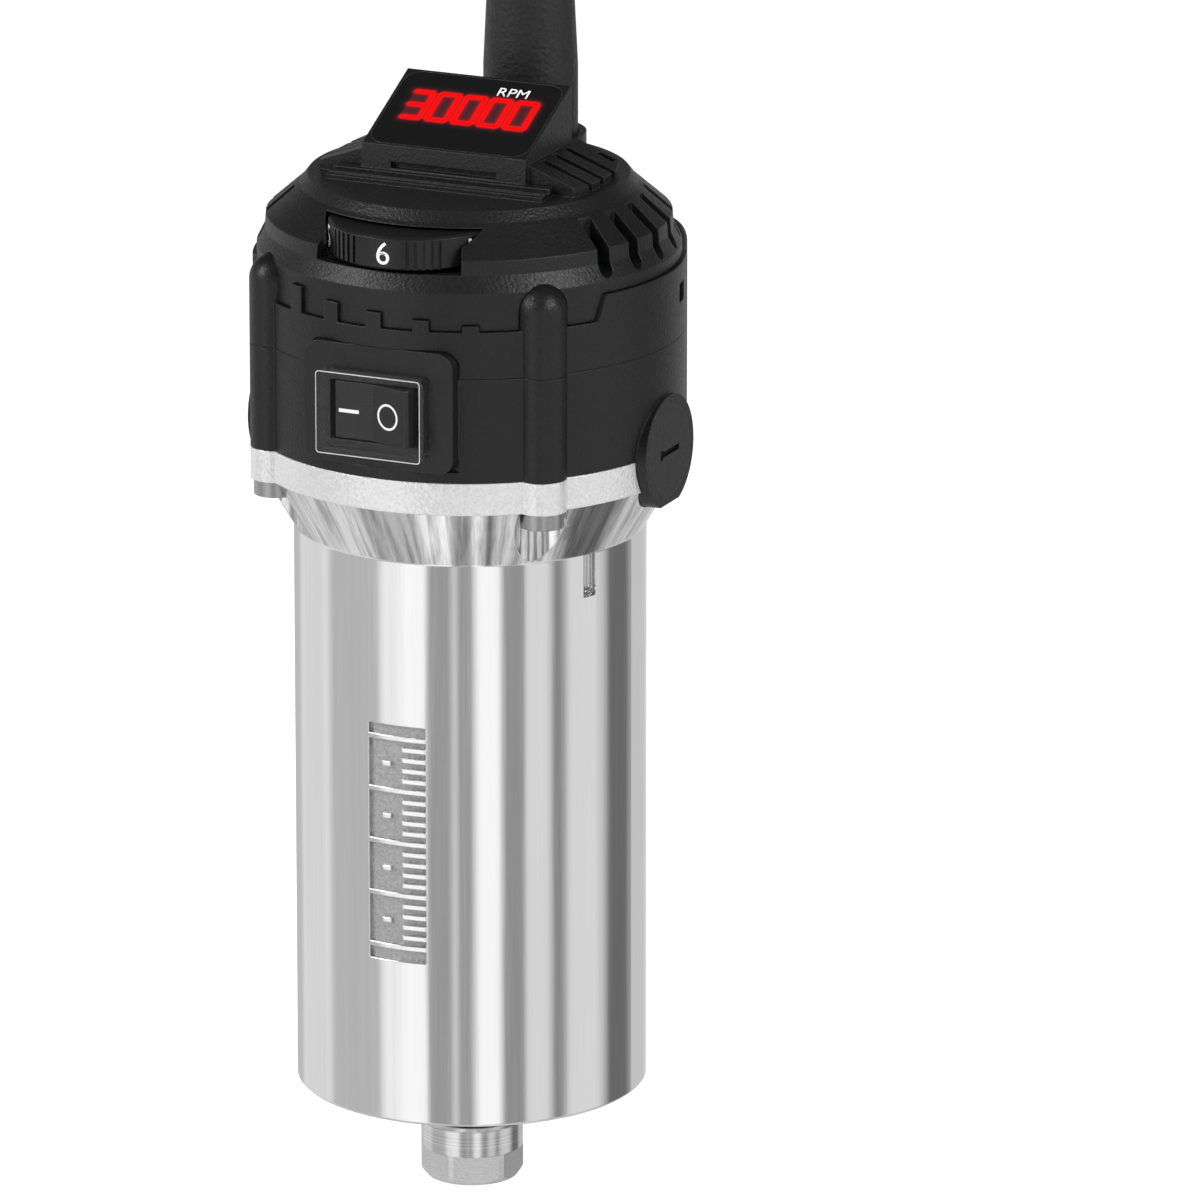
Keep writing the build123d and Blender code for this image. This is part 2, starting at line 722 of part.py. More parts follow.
def collet():
    """Split collet: slots from the front and from the back, half a step apart."""
    land_low = collet_land_low()
    groove_low = land_low + COLLET_LAND
    cone_low = collet_cone_low()
    top = COLLET_FRONT + COLLET_L
    cone_top = min(top, cone_low + (COLLET_R - COLLET_TAIL_R) / TAPER)
    body = turned([(COLLET_BORE_R, COLLET_FRONT), (COLLET_FACE_R, COLLET_FRONT), (COLLET_R, land_low),
                   (COLLET_R, groove_low), (COLLET_GROOVE_R, groove_low), (COLLET_GROOVE_R, cone_low),
                   (COLLET_R, cone_low), (taper_radius(cone_top), cone_top),
                   (taper_radius(cone_top), top), (COLLET_BORE_R, top)])
    half = COLLET_SLOT_W / 2
    reach = COLLET_R + 1
    front = block(COLLET_BORE_R - 1, reach, -half, half, COLLET_FRONT - 1, top - COLLET_SLOT_END)
    back = block(COLLET_BORE_R - 1, reach, -half, half, cone_low + COLLET_SLOT_END, top + 1)
    slots = []
    for i in range(COLLET_SLOTS):
        angle = COLLET_SLOT_START + i * 360 / COLLET_SLOTS
        slots += [Rot(0, 0, angle) * front, Rot(0, 0, angle + 180 / COLLET_SLOTS) * back]
    return without(body, slots)


def collet_nut():
    """Nut with a round skirt, a chamfered hexagon and the inside that pulls the collet by its groove."""
    skirt_low = NUT_TOP - NUT_SKIRT_H
    bottom = skirt_low - NUT_HEX_H
    skirt = turned([(0, skirt_low), (NUT_SKIRT_R, skirt_low), (NUT_SKIRT_R, NUT_TOP - NUT_SKIRT_CHAMFER),
                    (NUT_SKIRT_R - NUT_SKIRT_CHAMFER, NUT_TOP), (0, NUT_TOP)])
    hexagon = Rot(0, 0, 30) * extrude(RegularPolygon(NUT_HEX_AF / 2, 6, major_radius=False), NUT_HEX_H)
    crown = turned([(0, bottom), (NUT_HEX_AF / 2 - RUN, bottom), (NUT_SKIRT_R, bottom + NUT_HEX_CHAMFER),
                    (NUT_SKIRT_R, skirt_low), (0, skirt_low)])
    body = skirt + (Pos(0, 0, bottom) * hexagon & crown)
    land_low = collet_land_low()
    groove_low = land_low + COLLET_LAND
    cone_low = collet_cone_low()
    mouth = COLLET_FACE_R + NUT_GAP - (COLLET_FRONT - bottom) * FACE_TAPER
    wide = COLLET_R + NUT_GAP
    hook = COLLET_GROOVE_R + CLEAR
    thread_low = NOSE_END - NUT_RELIEF
    inside = turned([(0, bottom - 1), (mouth, bottom - 1), (mouth, bottom),
                     (wide, land_low), (wide, groove_low + NUT_GAP),
                     (hook, groove_low + NUT_GAP), (hook, cone_low - NUT_GAP),
                     (wide, cone_low - NUT_GAP), (wide, thread_low),
                     (NOSE_R + RUN, thread_low), (NOSE_R + RUN, NUT_TOP + 1), (0, NUT_TOP + 1)])
    return body - inside


# Motor

def cooling_fan():
    """Radial fan: a hub, a plate and blades that lean back."""
    top = FAN_Z + FAN_H
    hub = ring(FAN_HUB_R, SHAFT_LOW_R + SEAT, FAN_Z, top)
    plate = ring(FAN_R, SHAFT_LOW_R + SEAT, top - FAN_PLATE_T, top)
    blade_l = FAN_R - FAN_HUB_R + BLEND
    blade = Pos(FAN_HUB_R - BLEND, 0, 0) * Rot(0, 0, -FAN_BLADE_LEAN) * block(
        0, blade_l, -FAN_BLADE_T / 2, FAN_BLADE_T / 2, FAN_Z + FAN_PLATE_T, top - FAN_PLATE_T / 2)
    blades = [Rot(0, 0, i * 360 / FAN_BLADES) * blade for i in range(FAN_BLADES)]
    return joined([hub, plate] + blades) & disc(FAN_R, FAN_Z, top)


def fan_baffle():
    """Ring plate that feeds the fan, with the skirt that the stator stands on."""
    skirt_in = BORE_R - BAFFLE_SKIRT_T
    plate = ring(BORE_R - RUN, BAFFLE_BORE_R, BAFFLE_Z, BAFFLE_Z + BAFFLE_T)
    return plate + ring(BORE_R - RUN, skirt_in, BAFFLE_Z, STATOR_Z)


def stator_core():
    """Ring of the stator with its two poles."""
    top = STATOR_Z + STACK_L
    inner = ARMATURE_R + AIR_GAP
    yoke = ring(BORE_R - SEAT, BORE_R - YOKE_T, STATOR_Z, top)
    poles = [sector(BORE_R - YOKE_T / 2, inner, side - POLE_HALF_ANGLE, side + POLE_HALF_ANGLE,
                    STATOR_Z, top) for side in (0, 180)]
    return joined([yoke] + poles)


def field_coil(side):
    """Saddle coil round one pole: two legs in the windows and an end turn at each end."""
    inner = ARMATURE_R + AIR_GAP + COIL_INSULATION
    outer = BORE_R - YOKE_T - COIL_GAP
    low = STATOR_Z - COIL_END_H
    high = STATOR_Z + STACK_L + COIL_END_H
    saddle = sector(outer, inner, side - COIL_HALF_ANGLE, side + COIL_HALF_ANGLE, low, high)
    window = wedge(side - POLE_HALF_ANGLE - 1, side + POLE_HALF_ANGLE + 1,
                   STATOR_Z - COIL_GAP, STATOR_Z + STACK_L + COIL_GAP)
    return saddle - window


def armature_turns():
    """Turns that carry a shape to each slot of the armature."""
    return [Rot(0, 0, i * 360 / ARMATURE_SLOTS) for i in range(ARMATURE_SLOTS)]


def armature_core():
    """Slotted core of the armature."""
    top = STATOR_Z + STACK_L
    core = ring(ARMATURE_R, SHAFT_R + SEAT, STATOR_Z, top)
    slot = block(SLOT_ROOT_R, SLOT_TOP_R, -SLOT_W / 2, SLOT_W / 2, STATOR_Z - 1, top + 1)
    mouth = block(SLOT_TOP_R - 1, ARMATURE_R + 1, -SLOT_MOUTH_W / 2, SLOT_MOUTH_W / 2,
                  STATOR_Z - 1, top + 1)
    return without(core, [turn * (slot + mouth) for turn in armature_turns()])


def winding_end(low, high, outward):
    """Round bundle of wire at one end of the armature, rounded on its outward side (1 up, -1 down)."""
    inner = SHAFT_R + AIR_GAP
    outer = SLOT_TOP_R - SLOT_LINER
    face, back = (high, low) if outward > 0 else (low, high)
    step = outward * WINDING_ROUND
    return turned([(inner, back), (outer, back), (outer, face - step), (outer - WINDING_ROUND, face),
                   (inner + WINDING_ROUND, face), (inner, face - step)])


def armature_windings():
    """Wire in the slots and its two end bundles."""
    top = STATOR_Z + STACK_L
    ends = [winding_end(STATOR_Z - WINDING_END_H, STATOR_Z - SLOT_LINER, -1),
            winding_end(top + SLOT_LINER, top + WINDING_END_H, 1)]
    half = SLOT_W / 2 - SLOT_LINER
    bar = block(SLOT_ROOT_R + SLOT_LINER, SLOT_TOP_R - CLEAR, -half, half, STATOR_Z - BLEND, top + BLEND)
    return joined(ends + [turn * bar for turn in armature_turns()])


def commutator():
    """Insulating hub and its ring of copper bars."""
    top = COMM_LOW + COMM_L
    hub = ring(COMM_HUB_R, SHAFT_R + SEAT, COMM_LOW, top)
    bar_ring = turned([(COMM_HUB_R + SEAT, COMM_LOW), (COMM_RISER_R, COMM_LOW),
                       (COMM_RISER_R, COMM_LOW + COMM_RISER_H), (COMM_R, COMM_LOW + COMM_RISER_H),
                       (COMM_R, top - COMM_CHAMFER), (COMM_R - COMM_CHAMFER, top),
                       (COMM_HUB_R + SEAT, top)])
    step = 360 / COMM_BARS
    half = step / 2 - math.degrees(COMM_GAP / 2 / COMM_R)
    bar = bar_ring & wedge(-half, half, COMM_LOW - 1, top + 1)
    return hub, [Rot(0, 0, i * step) * bar for i in range(COMM_BARS)]


# Brush gear, the same on both sides

def brush_holder(sign):
    """Brass tube that guides one brush."""
    x0, x1 = sorted((sign * HOLDER_IN, sign * HOLDER_OUT))
    half_w = BRUSH_W / 2 + RUN
    half_h = BRUSH_H / 2 + RUN
    tube = block(x0, x1, -half_w - HOLDER_WALL, half_w + HOLDER_WALL,
                 BRUSH_Z - half_h - HOLDER_WALL, BRUSH_Z + half_h + HOLDER_WALL)
    return tube - block(x0 - 1, x1 + 1, -half_w, half_w, BRUSH_Z - half_h, BRUSH_Z + half_h)


def carbon_brush(sign):
    """Carbon block with a hollow end that fits the commutator."""
    x0, x1 = sorted((sign * COMM_HUB_R, sign * (COMM_R + RUN + BRUSH_L)))
    body = block(x0, x1, -BRUSH_W / 2, BRUSH_W / 2, BRUSH_Z - BRUSH_H / 2, BRUSH_Z + BRUSH_H / 2)
    return body - disc(COMM_R + RUN, BRUSH_Z - BRUSH_H, BRUSH_Z + BRUSH_H)


def brush_spring(sign):
    """Round wire spring between the brush and its terminal disc."""
    start = COMM_R + RUN + BRUSH_L + SPRING_WIRE / 2 + SPRING_GAP
    length = TERMINAL_X - SPRING_WIRE / 2 - SPRING_GAP - start
    centre_r = SPRING_R - SPRING_WIRE / 2
    path = Helix(length / SPRING_TURNS, length, centre_r)
    wire = sweep(Plane(path @ 0, z_dir=path % 0) * Circle(SPRING_WIRE / 2), path=path)
    turned_wire = Rot(0, 90 * sign, 0) * wire
    return Pos(sign * start, 0, BRUSH_Z) * turned_wire


def spring_terminal(sign):
    """Disc that the brush spring bears on."""
    x0, x1 = sorted((sign * TERMINAL_X, sign * (TERMINAL_X + TERMINAL_T)))
    return across(TERMINAL_R, x0, x1, BRUSH_Z)


def brush_cap(sign):
    """Screw cap with a driver slot in its face, notched wider at one end."""
    face = sign * BOSS_FACE
    back = face - sign * CAP_T
    thread_end = sign * (TERMINAL_X + TERMINAL_T + SPRING_GAP)
    head = across(CAP_R, *sorted((face, back)), BRUSH_Z)
    thread = across(CAP_THREAD_R, *sorted((thread_end, back)), BRUSH_Z)
    hollow = across(CAP_HOLLOW_R, *sorted((thread_end - sign, back - sign * CAP_FLOOR)), BRUSH_Z)
    x0, x1 = sorted((face + sign, face - sign * CAP_T / 2))
    half = CAP_SLOT_L / 2
    slot = block(x0, x1, -half, half, BRUSH_Z - CAP_SLOT_W / 2, BRUSH_Z + CAP_SLOT_W / 2)
    notch = block(x0, x1, -half, -half + CAP_NOTCH_L, BRUSH_Z - CAP_NOTCH_W / 2, BRUSH_Z + CAP_NOTCH_W / 2)
    return without(head + thread, [hollow, slot, notch])


# Head shells

def brush_box(sign):
    """Rectangular box and round boss that carry one brush holder and its cap."""
    half_w = BRUSH_W / 2 + RUN + HOLDER_WALL + BOX_WALL
    half_h = BRUSH_H / 2 + RUN + HOLDER_WALL + BOX_WALL
    x0, x1 = sorted((sign * (HOLDER_IN + BLEND), sign * (HOLDER_OUT - BLEND)))
    box = block(x0, x1, -half_w, half_w, BRUSH_Z - half_h, DECK_Z + DECK_T / 2)
    x0, x1 = sorted((sign * (SHELL_IN_R - BOSS_ROOT + CLEAR + BLEND), sign * BOSS_FACE))
    boss = across(BOSS_R, x0, x1, BRUSH_Z)
    flat = block(x0 - 1, x1 + 1, -BOSS_R, BOSS_R, BRUSH_Z - BOSS_R - 1, BRUSH_Z - BOSS_FLAT)
    return box + (boss - flat)


def brush_box_cuts(sign):
    """Holes for one brush holder, its terminal disc and its cap."""
    half_w = BRUSH_W / 2 + RUN + HOLDER_WALL + SEAT
    half_h = BRUSH_H / 2 + RUN + HOLDER_WALL + SEAT
    holder = sorted((sign * (HOLDER_IN - 1), sign * (HOLDER_OUT + 1)))
    thread = sorted((sign * HOLDER_OUT, sign * (BOSS_FACE + 1)))
    head = sorted((sign * (BOSS_FACE - CAP_T), sign * (BOSS_FACE + 1)))
    return [block(holder[0], holder[1], -half_w, half_w, BRUSH_Z - half_h, BRUSH_Z + half_h),
            across(CAP_THREAD_R + RUN, thread[0], thread[1], BRUSH_Z),
            across(CAP_R + RUN, head[0], head[1], BRUSH_Z)]


def panel_plate(grow=0.0, proud=0.0):
    """Flat front panel round the switch, with rounded corners."""
    width = 2 * (PANEL_HALF + grow)
    height = PANEL_HIGH - PANEL_LOW + 2 * grow
    plate = rounded_bar(width, height, PANEL_T + grow + proud, PANEL_CORNER)
    middle = (PANEL_HIGH + PANEL_LOW) / 2
    return Pos(0, -PANEL_FACE + PANEL_T + grow, middle) * Rot(90, 0, 0) * plate


def brush_housing():
    """Lower shell of the head with its deck, bearing seat, brush boxes and switch panel."""
    seat_r = REAR_OUT_R + REAR_SEAT_WALL
    low = HEAD_Z + SEAM
    shell = ring(HEAD_R, SHELL_IN_R, low, SPLIT_Z)
    pillars = each_at(pillar_places(), disc(PILLAR_R, low, SPLIT_Z))
    deck = disc(SHELL_IN_R + BLEND, DECK_Z, DECK_Z + DECK_T)
    seat = disc(seat_r, DECK_Z, REAR_SEAT_TOP + DECK_T)
    windows = [sector(SHELL_IN_R - DECK_RIM, seat_r + DECK_RIM, angle - DECK_WINDOW_HALF,
                      angle + DECK_WINDOW_HALF, DECK_Z - 1, DECK_Z + DECK_T + 1) for angle in PILLAR_ANGLES]
    deck = without(deck, windows)
    boxes = [brush_box(sign) for _, sign in SIDES]
    body = joined([shell, deck, seat] + pillars + boxes)
    panel_back = -PANEL_FACE + PANEL_T
    front = block(-PANEL_HALF, PANEL_HALF, -HEAD_R - PILLAR_R, panel_back, PANEL_LOW, SPLIT_Z + 1)
    body = (body - front) + panel_plate()
    half_w = SWITCH_W / 2 + SWITCH_FIT
    half_h = SWITCH_H / 2 + SWITCH_FIT
    room_back = -PANEL_FACE + SWITCH_DEPTH + TAB_L + 1
    window = block(-half_w, half_w, -HEAD_R - 1, room_back, SWITCH_Z - half_h, SWITCH_Z + half_h)
    behind = block(-half_w - 1, half_w + 1, panel_back, room_back, DECK_Z - 1, DECK_Z + DECK_T + 1)
    cuts = [window, behind, disc(REAR_OUT_R + SEAT, DECK_Z - 1, REAR_SEAT_TOP),
            disc(MAGNET_R + MAGNET_ROOM, DECK_Z, REAR_SEAT_TOP + DECK_T + 1)]
    cuts += each_at(pillar_places(), disc(SCREW_R + CLEAR, HEAD_Z - 1, SPLIT_Z + 1))
    for _, sign in SIDES:
        cuts += brush_box_cuts(sign)
    return without(body, cuts)


def side_rise(grow=0.0):
    """Raised stretches of the middle ring at both sides, each with a sloping front end."""
    outer = HEAD_R + grow
    top = CAP_SPLIT_SIDE_Z + grow
    band = ring(outer, SHELL_IN_R - grow, CAP_SPLIT_Z - BLEND, top)
    foot = outer * math.sin(math.radians(SIDE_START))
    foot_y = -outer * math.cos(math.radians(SIDE_START))
    back_y = -outer * math.cos(math.radians(SIDE_END)) + grow
    run = math.radians(SIDE_RAMP) * outer
    side = [(foot_y - grow - BLEND * run / SIDE_RISE, CAP_SPLIT_Z - BLEND), (foot_y - grow + run, top),
            (back_y, top), (back_y, CAP_SPLIT_Z - BLEND)]
    face = make_face(Polyline(*[(0, y, z) for y, z in side], close=True))
    stretch = Pos(foot / 2, 0, 0) * extrude(face, outer, dir=(1, 0, 0))
    right = band & stretch
    return [right, mirror(right, Plane.YZ)]


def rising_bars(grow=0.0):
    """Five bars on the joint line, taller towards the left."""
    bars = []
    for i, height in enumerate(BAR_HEIGHTS):
        angle = BAR_CENTRE + (i - 2) * BAR_PITCH
        half = math.degrees((BAR_W / 2 + grow) / HEAD_R)
        bars.append(sector(HEAD_R + grow, SHELL_IN_R - grow, angle - half, angle + half,
                           CAP_SPLIT_Z - BLEND, CAP_SPLIT_Z + height + grow))
    return bars


def pillar_tops(grow=0.0):
    """Pillars of the middle ring with round tops."""
    radius = PILLAR_R + grow
    low = SPLIT_Z + SEAM
    centre = PILLAR_TOP - PILLAR_R
    shape = disc(radius, low, centre) + Pos(0, 0, centre) * Sphere(radius)
    return each_at(pillar_places(), shape)


def snap_window(angle):
    """Small window near the ring's upper edge, where a snap hook of the cap catches."""
    low = CAP_SPLIT_SIDE_Z - SNAP_DROP
    pocket = block(-SNAP_W / 2, SNAP_W / 2, -HEAD_R - 1, SNAP_DEPTH - HEAD_R, low, low + SNAP_H)
    return Rot(0, 0, angle) * pocket


def middle_ring():
    """Ring between the two shells, with the board's lugs and the tops of the pillars."""
    low = SPLIT_Z + SEAM
    ring_part = ring(HEAD_R, SHELL_IN_R, low, CAP_SPLIT_Z)
    lug = block(-LUG_W / 2, LUG_W / 2, -PILLAR_CENTRE_R, LUG_L - PILLAR_CENTRE_R, BOARD_Z - LUG_T, BOARD_Z)
    lugs = [Rot(0, 0, angle) * lug for angle in PILLAR_ANGLES]
    body = joined([ring_part] + side_rise() + rising_bars() + pillar_tops() + lugs)
    cuts = [panel_plate(SEAM, HEAD_WALL),
            block(-PANEL_HALF - SEAM, PANEL_HALF + SEAM, -HEAD_R - 1, -PANEL_FACE + PANEL_T + SEAM,
                  SPLIT_Z, PANEL_HIGH - PANEL_CORNER)]
    cuts += each_at(pillar_places(), disc(SCREW_R + SEAT, SPLIT_Z, SCREW_TIP + CLEAR))
    cuts += each_at(board_screw_places(), disc(BOARD_SCREW_R + SEAT, BOARD_Z - LUG_T - 1, BOARD_Z + 1))
    cuts += [snap_window(SNAP_ANGLE), snap_window(-SNAP_ANGLE)]
    return without(body, cuts)


# Top cap with the dial slot, vents, read-out turret and cord gland

def lens_plane(depth=0.0):
    """Plane on the read-out face, a depth below its surface."""
    tilt = math.radians(LENS_TILT)
    normal = (0, -math.sin(tilt), math.cos(tilt))
    origin = (0, LENS_Y - normal[1] * depth, LENS_Z - normal[2] * depth)
    return Plane(origin, x_dir=(1, 0, 0), z_dir=normal)


def slope_point(along, depth=0.0):
    """(y, z) of a point on the read-out face's centre line."""
    tilt = math.radians(LENS_TILT)
    return (LENS_Y + along * math.cos(tilt) + depth * math.sin(tilt),
            LENS_Z + along * math.sin(tilt) - depth * math.cos(tilt))


def turret(inset=0.0):
    """Wedge that carries the read-out, or its hollow when inset by the wall."""
    half = LENS_W / 2 + LIP - inset
    reach = LENS_L / 2 + LIP
    base = PLATEAU_Z - CAP_WALL - BLEND
    low_y, low_z = slope_point(-reach + inset, inset)
    high_y, high_z = slope_point(reach - inset, inset)
    foot = low_y - TURRET_FOOT
    back = high_y + TURRET_BACK_STEP
    points = [(foot, base), (foot, PLATEAU_Z + TURRET_FOOT - inset), (low_y, low_z), (high_y, high_z),
              (back, high_z - TURRET_TOP_STEP), (back, base)]
    side = make_face(Polyline(*[(-half, y, z) for y, z in points], close=True))
    return extrude(side, 2 * half, dir=(1, 0, 0))


def turret_slot():
    """Long shallow slot in the front wall of the turret."""
    low_y, _ = slope_point(-LENS_L / 2 - LIP)
    low = PLATEAU_Z + TURRET_SLOT_RISE
    return block(-TURRET_SLOT_HALF, TURRET_SLOT_HALF, low_y - TURRET_FOOT - 1, low_y + TURRET_SLOT_DEPTH,
                 low, low + TURRET_SLOT_H)


def wing(sign):
    """Sloped block beside the turret with grooves across it."""
    start = LENS_W / 2 + LIP - BLEND / 2
    low = PLATEAU_Z - BLEND
    points = [(start, low), (start, PLATEAU_Z + WING_IN_RISE), (WING_OUT, PLATEAU_Z + WING_OUT_RISE),
              (WING_OUT, low)]
    side = make_face(Polyline(*[(sign * x, WING_FRONT, z) for x, z in points], close=True))
    body = extrude(side, WING_BACK - WING_FRONT, dir=(0, 1, 0)) & disc(
        WING_R, low, PLATEAU_Z + WING_IN_RISE)
    spans = [(start + WING_GROOVE_IN, WING_OUT + BLEND, y) for y in WING_GROOVES] + [WING_SHORT_GROOVE]
    grooves = []
    for near, far, y in spans:
        x0, x1 = sorted((sign * near, sign * far))
        grooves.append(block(x0, x1, y - WING_GROOVE_W / 2, y + WING_GROOVE_W / 2,
                             PLATEAU_Z - BLEND / 2, PLATEAU_Z + WING_IN_RISE))
    return without(body, grooves)


def ledge():
    """Low stepped ledge across the plateau in front of the turret."""
    steps = []
    for back, front, height in LEDGE_STEPS:
        bar = rounded_bar(2 * LEDGE_HALF, back - front, height + BLEND, LEDGE_CORNER)
        steps.append(Pos(0, (back + front) / 2, PLATEAU_Z - BLEND) * bar)
    return joined(steps)


def cap_outline(inset=0.0):
    """Turned outline of the cap, or of its hollow when inset by the wall."""
    low = CAP_SPLIT_Z + (SEAM if inset == 0 else -1)
    drop = inset / 3
    return [(0, low), (SKIRT_R - inset, low), (SKIRT_R - inset, SKIRT_TOP - drop),
            (BAND_R - inset, BAND_LOW - drop), (BAND_R - BAND_IN - inset, BAND_HIGH - drop),
            (SHOULDER_R - inset, SHOULDER_TOP - inset), (RIM_R - inset, PLATEAU_Z - inset),
            (0, PLATEAU_Z - inset)]


def vent(angle):
    """Upright slot with a round lower end, cut from the outside of the shoulder."""
    reach = HEAD_R + 1
    low = VENT_LOW + VENT_W / 2
    slot = block(-VENT_W / 2, VENT_W / 2, -reach, -VENT_IN_R, low, PLATEAU_Z + 1)
    return Rot(0, 0, angle) * (slot + along_y(VENT_W / 2, -reach, -VENT_IN_R, 0, low))


def top_cap():
    """Cap with its turret, wings, ledge, dial slot, vents and cord gland."""
    gland = disc(GLAND_R, gland_low(), GLAND_TOP, 0, BOOT_Y)
    hollow = turned(cap_outline(CAP_WALL)) - gland
    clamp_block = block(-CLAMP_BLOCK_HALF, CLAMP_BLOCK_HALF, STRAP_FACE, BOOT_Y + CLAMP_BLOCK_DEPTH,
                        CLAMP_BLOCK_LOW, BOOT_LOW - BLEND)
    body = joined([turned(cap_outline()), gland, turret()] + [wing(sign) for _, sign in SIDES] + [ledge()])
    body = without(body, [hollow, turret(TURRET_WALL)]) + clamp_block
    pocket = lens_plane(LENS_T) * rounded_bar(LENS_W + 2 * SEAT, LENS_L + 2 * SEAT, 2 * LENS_T, LENS_CORNER)
    throat_depth = LENS_T + DIGIT_T + BOARD_T
    throat = lens_plane(throat_depth) * rounded_bar(
        LENS_W - 2 * TURRET_WALL, LENS_L - 2 * TURRET_WALL, throat_depth, LENS_CORNER - TURRET_WALL)
    dial_slot = sector(HEAD_R + 1, HEAD_R - DIAL_SLOT_DEPTH, -DIAL_SLOT_HALF, DIAL_SLOT_HALF,
                       DIAL_SLOT_LOW, DIAL_SLOT_HIGH)
    dial_room = disc(DIAL_R + DIAL_ROOM, DIAL_SLOT_LOW, DIAL_SLOT_HIGH, 0, DIAL_Y)
    cuts = [pocket, throat, dial_slot, dial_room, turret_slot(),
            disc(BOOT_R + BOOT_FIT, BOOT_LOW, GLAND_TOP + 1, 0, BOOT_Y),
            disc(CORD_D / 2 + RUN, CLAMP_BLOCK_LOW - 1, BOOT_LOW + 1, 0, BOOT_Y),
            block(-CORD_D / 2 - RUN, CORD_D / 2 + RUN, STRAP_FACE - 1, BOOT_Y,
                  CLAMP_BLOCK_LOW - 1, gland_low())]
    for angle in VENT_ANGLES:
        cuts += [vent(angle), vent(-angle)]
    cuts += pillar_tops(SEAM) + side_rise(SEAM) + rising_bars(SEAM)
    cuts += [along_y(STRAP_SCREW_R + SEAT, STRAP_FACE, STRAP_FACE + STRAP_SCREW_L + BLEND, x, STRAP_Z)
             for x in (-STRAP_SCREW_X, STRAP_SCREW_X)]
    return without(body, cuts)


def gland_low():
    """Lower end of the gland, just above the strap."""
    return STRAP_Z + STRAP_H / 2 + CLEAR


def cord_strap():
    """Bar that grips the cord against its block inside the cap."""
    back = STRAP_FACE - SEAT
    strap = block(-CLAMP_BLOCK_HALF, CLAMP_BLOCK_HALF, back - STRAP_T, back,
                  STRAP_Z - STRAP_H / 2, STRAP_Z + STRAP_H / 2)
    holes = [along_y(STRAP_SCREW_R + RUN, back - STRAP_T - 1, back + 1, x, STRAP_Z)
             for x in (-STRAP_SCREW_X, STRAP_SCREW_X)]
    return without(strap, holes)


def strap_screws():
    seat = STRAP_FACE - SEAT - STRAP_T
    return [along_y(STRAP_SCREW_HEAD_R, seat - STRAP_SCREW_HEAD_H, seat, x, STRAP_Z)
            + along_y(STRAP_SCREW_R, seat, STRAP_FACE + STRAP_SCREW_L, x, STRAP_Z)
            for x in (-STRAP_SCREW_X, STRAP_SCREW_X)]


# Switch

def switch_body():
    """Case and front frame of the rocker switch, open where the rocker sits."""
    case = block(-SWITCH_W / 2, SWITCH_W / 2, -PANEL_FACE, -PANEL_FACE + SWITCH_DEPTH,
                 SWITCH_Z - SWITCH_H / 2, SWITCH_Z + SWITCH_H / 2)
    frame = Pos(0, -PANEL_FACE, SWITCH_Z) * Rot(90, 0, 0) * rounded_bar(
        SWITCH_FRAME_W, SWITCH_FRAME_H, SWITCH_FRAME_T, COVER_CORNER)
    half = ROCKER_HALF + ROCKER_NOSE + ROCKER_ROOM
    half_h = ROCKER_H / 2 + CLEAR
    room = block(-half, half, -PANEL_FACE - COVER_T, ROCKER_WELL - ROCKER_PIVOT,
                 SWITCH_Z - half_h, SWITCH_Z + half_h)
    return (case + frame) - room - rocker_pin(RUN)


def switch_terminals():
    """Two tabs at the back of the switch."""
    back = -PANEL_FACE + SWITCH_DEPTH
    return [block(x - TAB_T / 2, x + TAB_T / 2, back, back + TAB_L, SWITCH_Z - TAB_W / 2,
                  SWITCH_Z + TAB_W / 2) for x in TAB_PLACES]


def rocker_pin(gap=0.0):
    """Short pivots above and below the rocker, or their holes when grown by a gap."""
    reach = ROCKER_H / 2 + ROCKER_PIN_L + gap
    return disc(ROCKER_PIN_R + gap, SWITCH_Z - reach, SWITCH_Z + reach, 0, -ROCKER_PIVOT)


def switch_rocker():
    """Rocker with two wings that form a shallow V, pressed at its left side."""
    rise = math.tan(math.radians(ROCKER_TILT))
    tip = ROCKER_RISE + ROCKER_HALF * rise
    right = [(0, ROCKER_RISE), (ROCKER_HALF, tip), (ROCKER_HALF + ROCKER_NOSE, tip - ROCKER_LIP)]
    right += ROCKER_UNDERSIDE
    left = [(-x, v) for x, v in reversed(right[1:-1])]
    outline = [(x, -v, 0) for x, v in right + left]
    body = extrude(make_face(Polyline(*outline, close=True)), ROCKER_H)
    turned_body = Pos(0, -ROCKER_PIVOT, SWITCH_Z - ROCKER_H / 2) * Rot(0, 0, -ROCKER_TILT) * body
    return turned_body + rocker_pin()


def switch_cover():
    """Clear cover over the rocker: a thin box open at the back."""
    outer = rounded_bar(COVER_W, COVER_H, COVER_T, COVER_CORNER)
    hollow = Pos(0, 0, -1) * rounded_bar(COVER_W - 2 * COVER_WALL, COVER_H - 2 * COVER_WALL,
                                         COVER_T + 1 - COVER_WALL, COVER_CORNER - COVER_WALL)
    return Pos(0, -PANEL_FACE, SWITCH_Z) * Rot(90, 0, 0) * (outer - hollow)


# Dial and its potentiometer

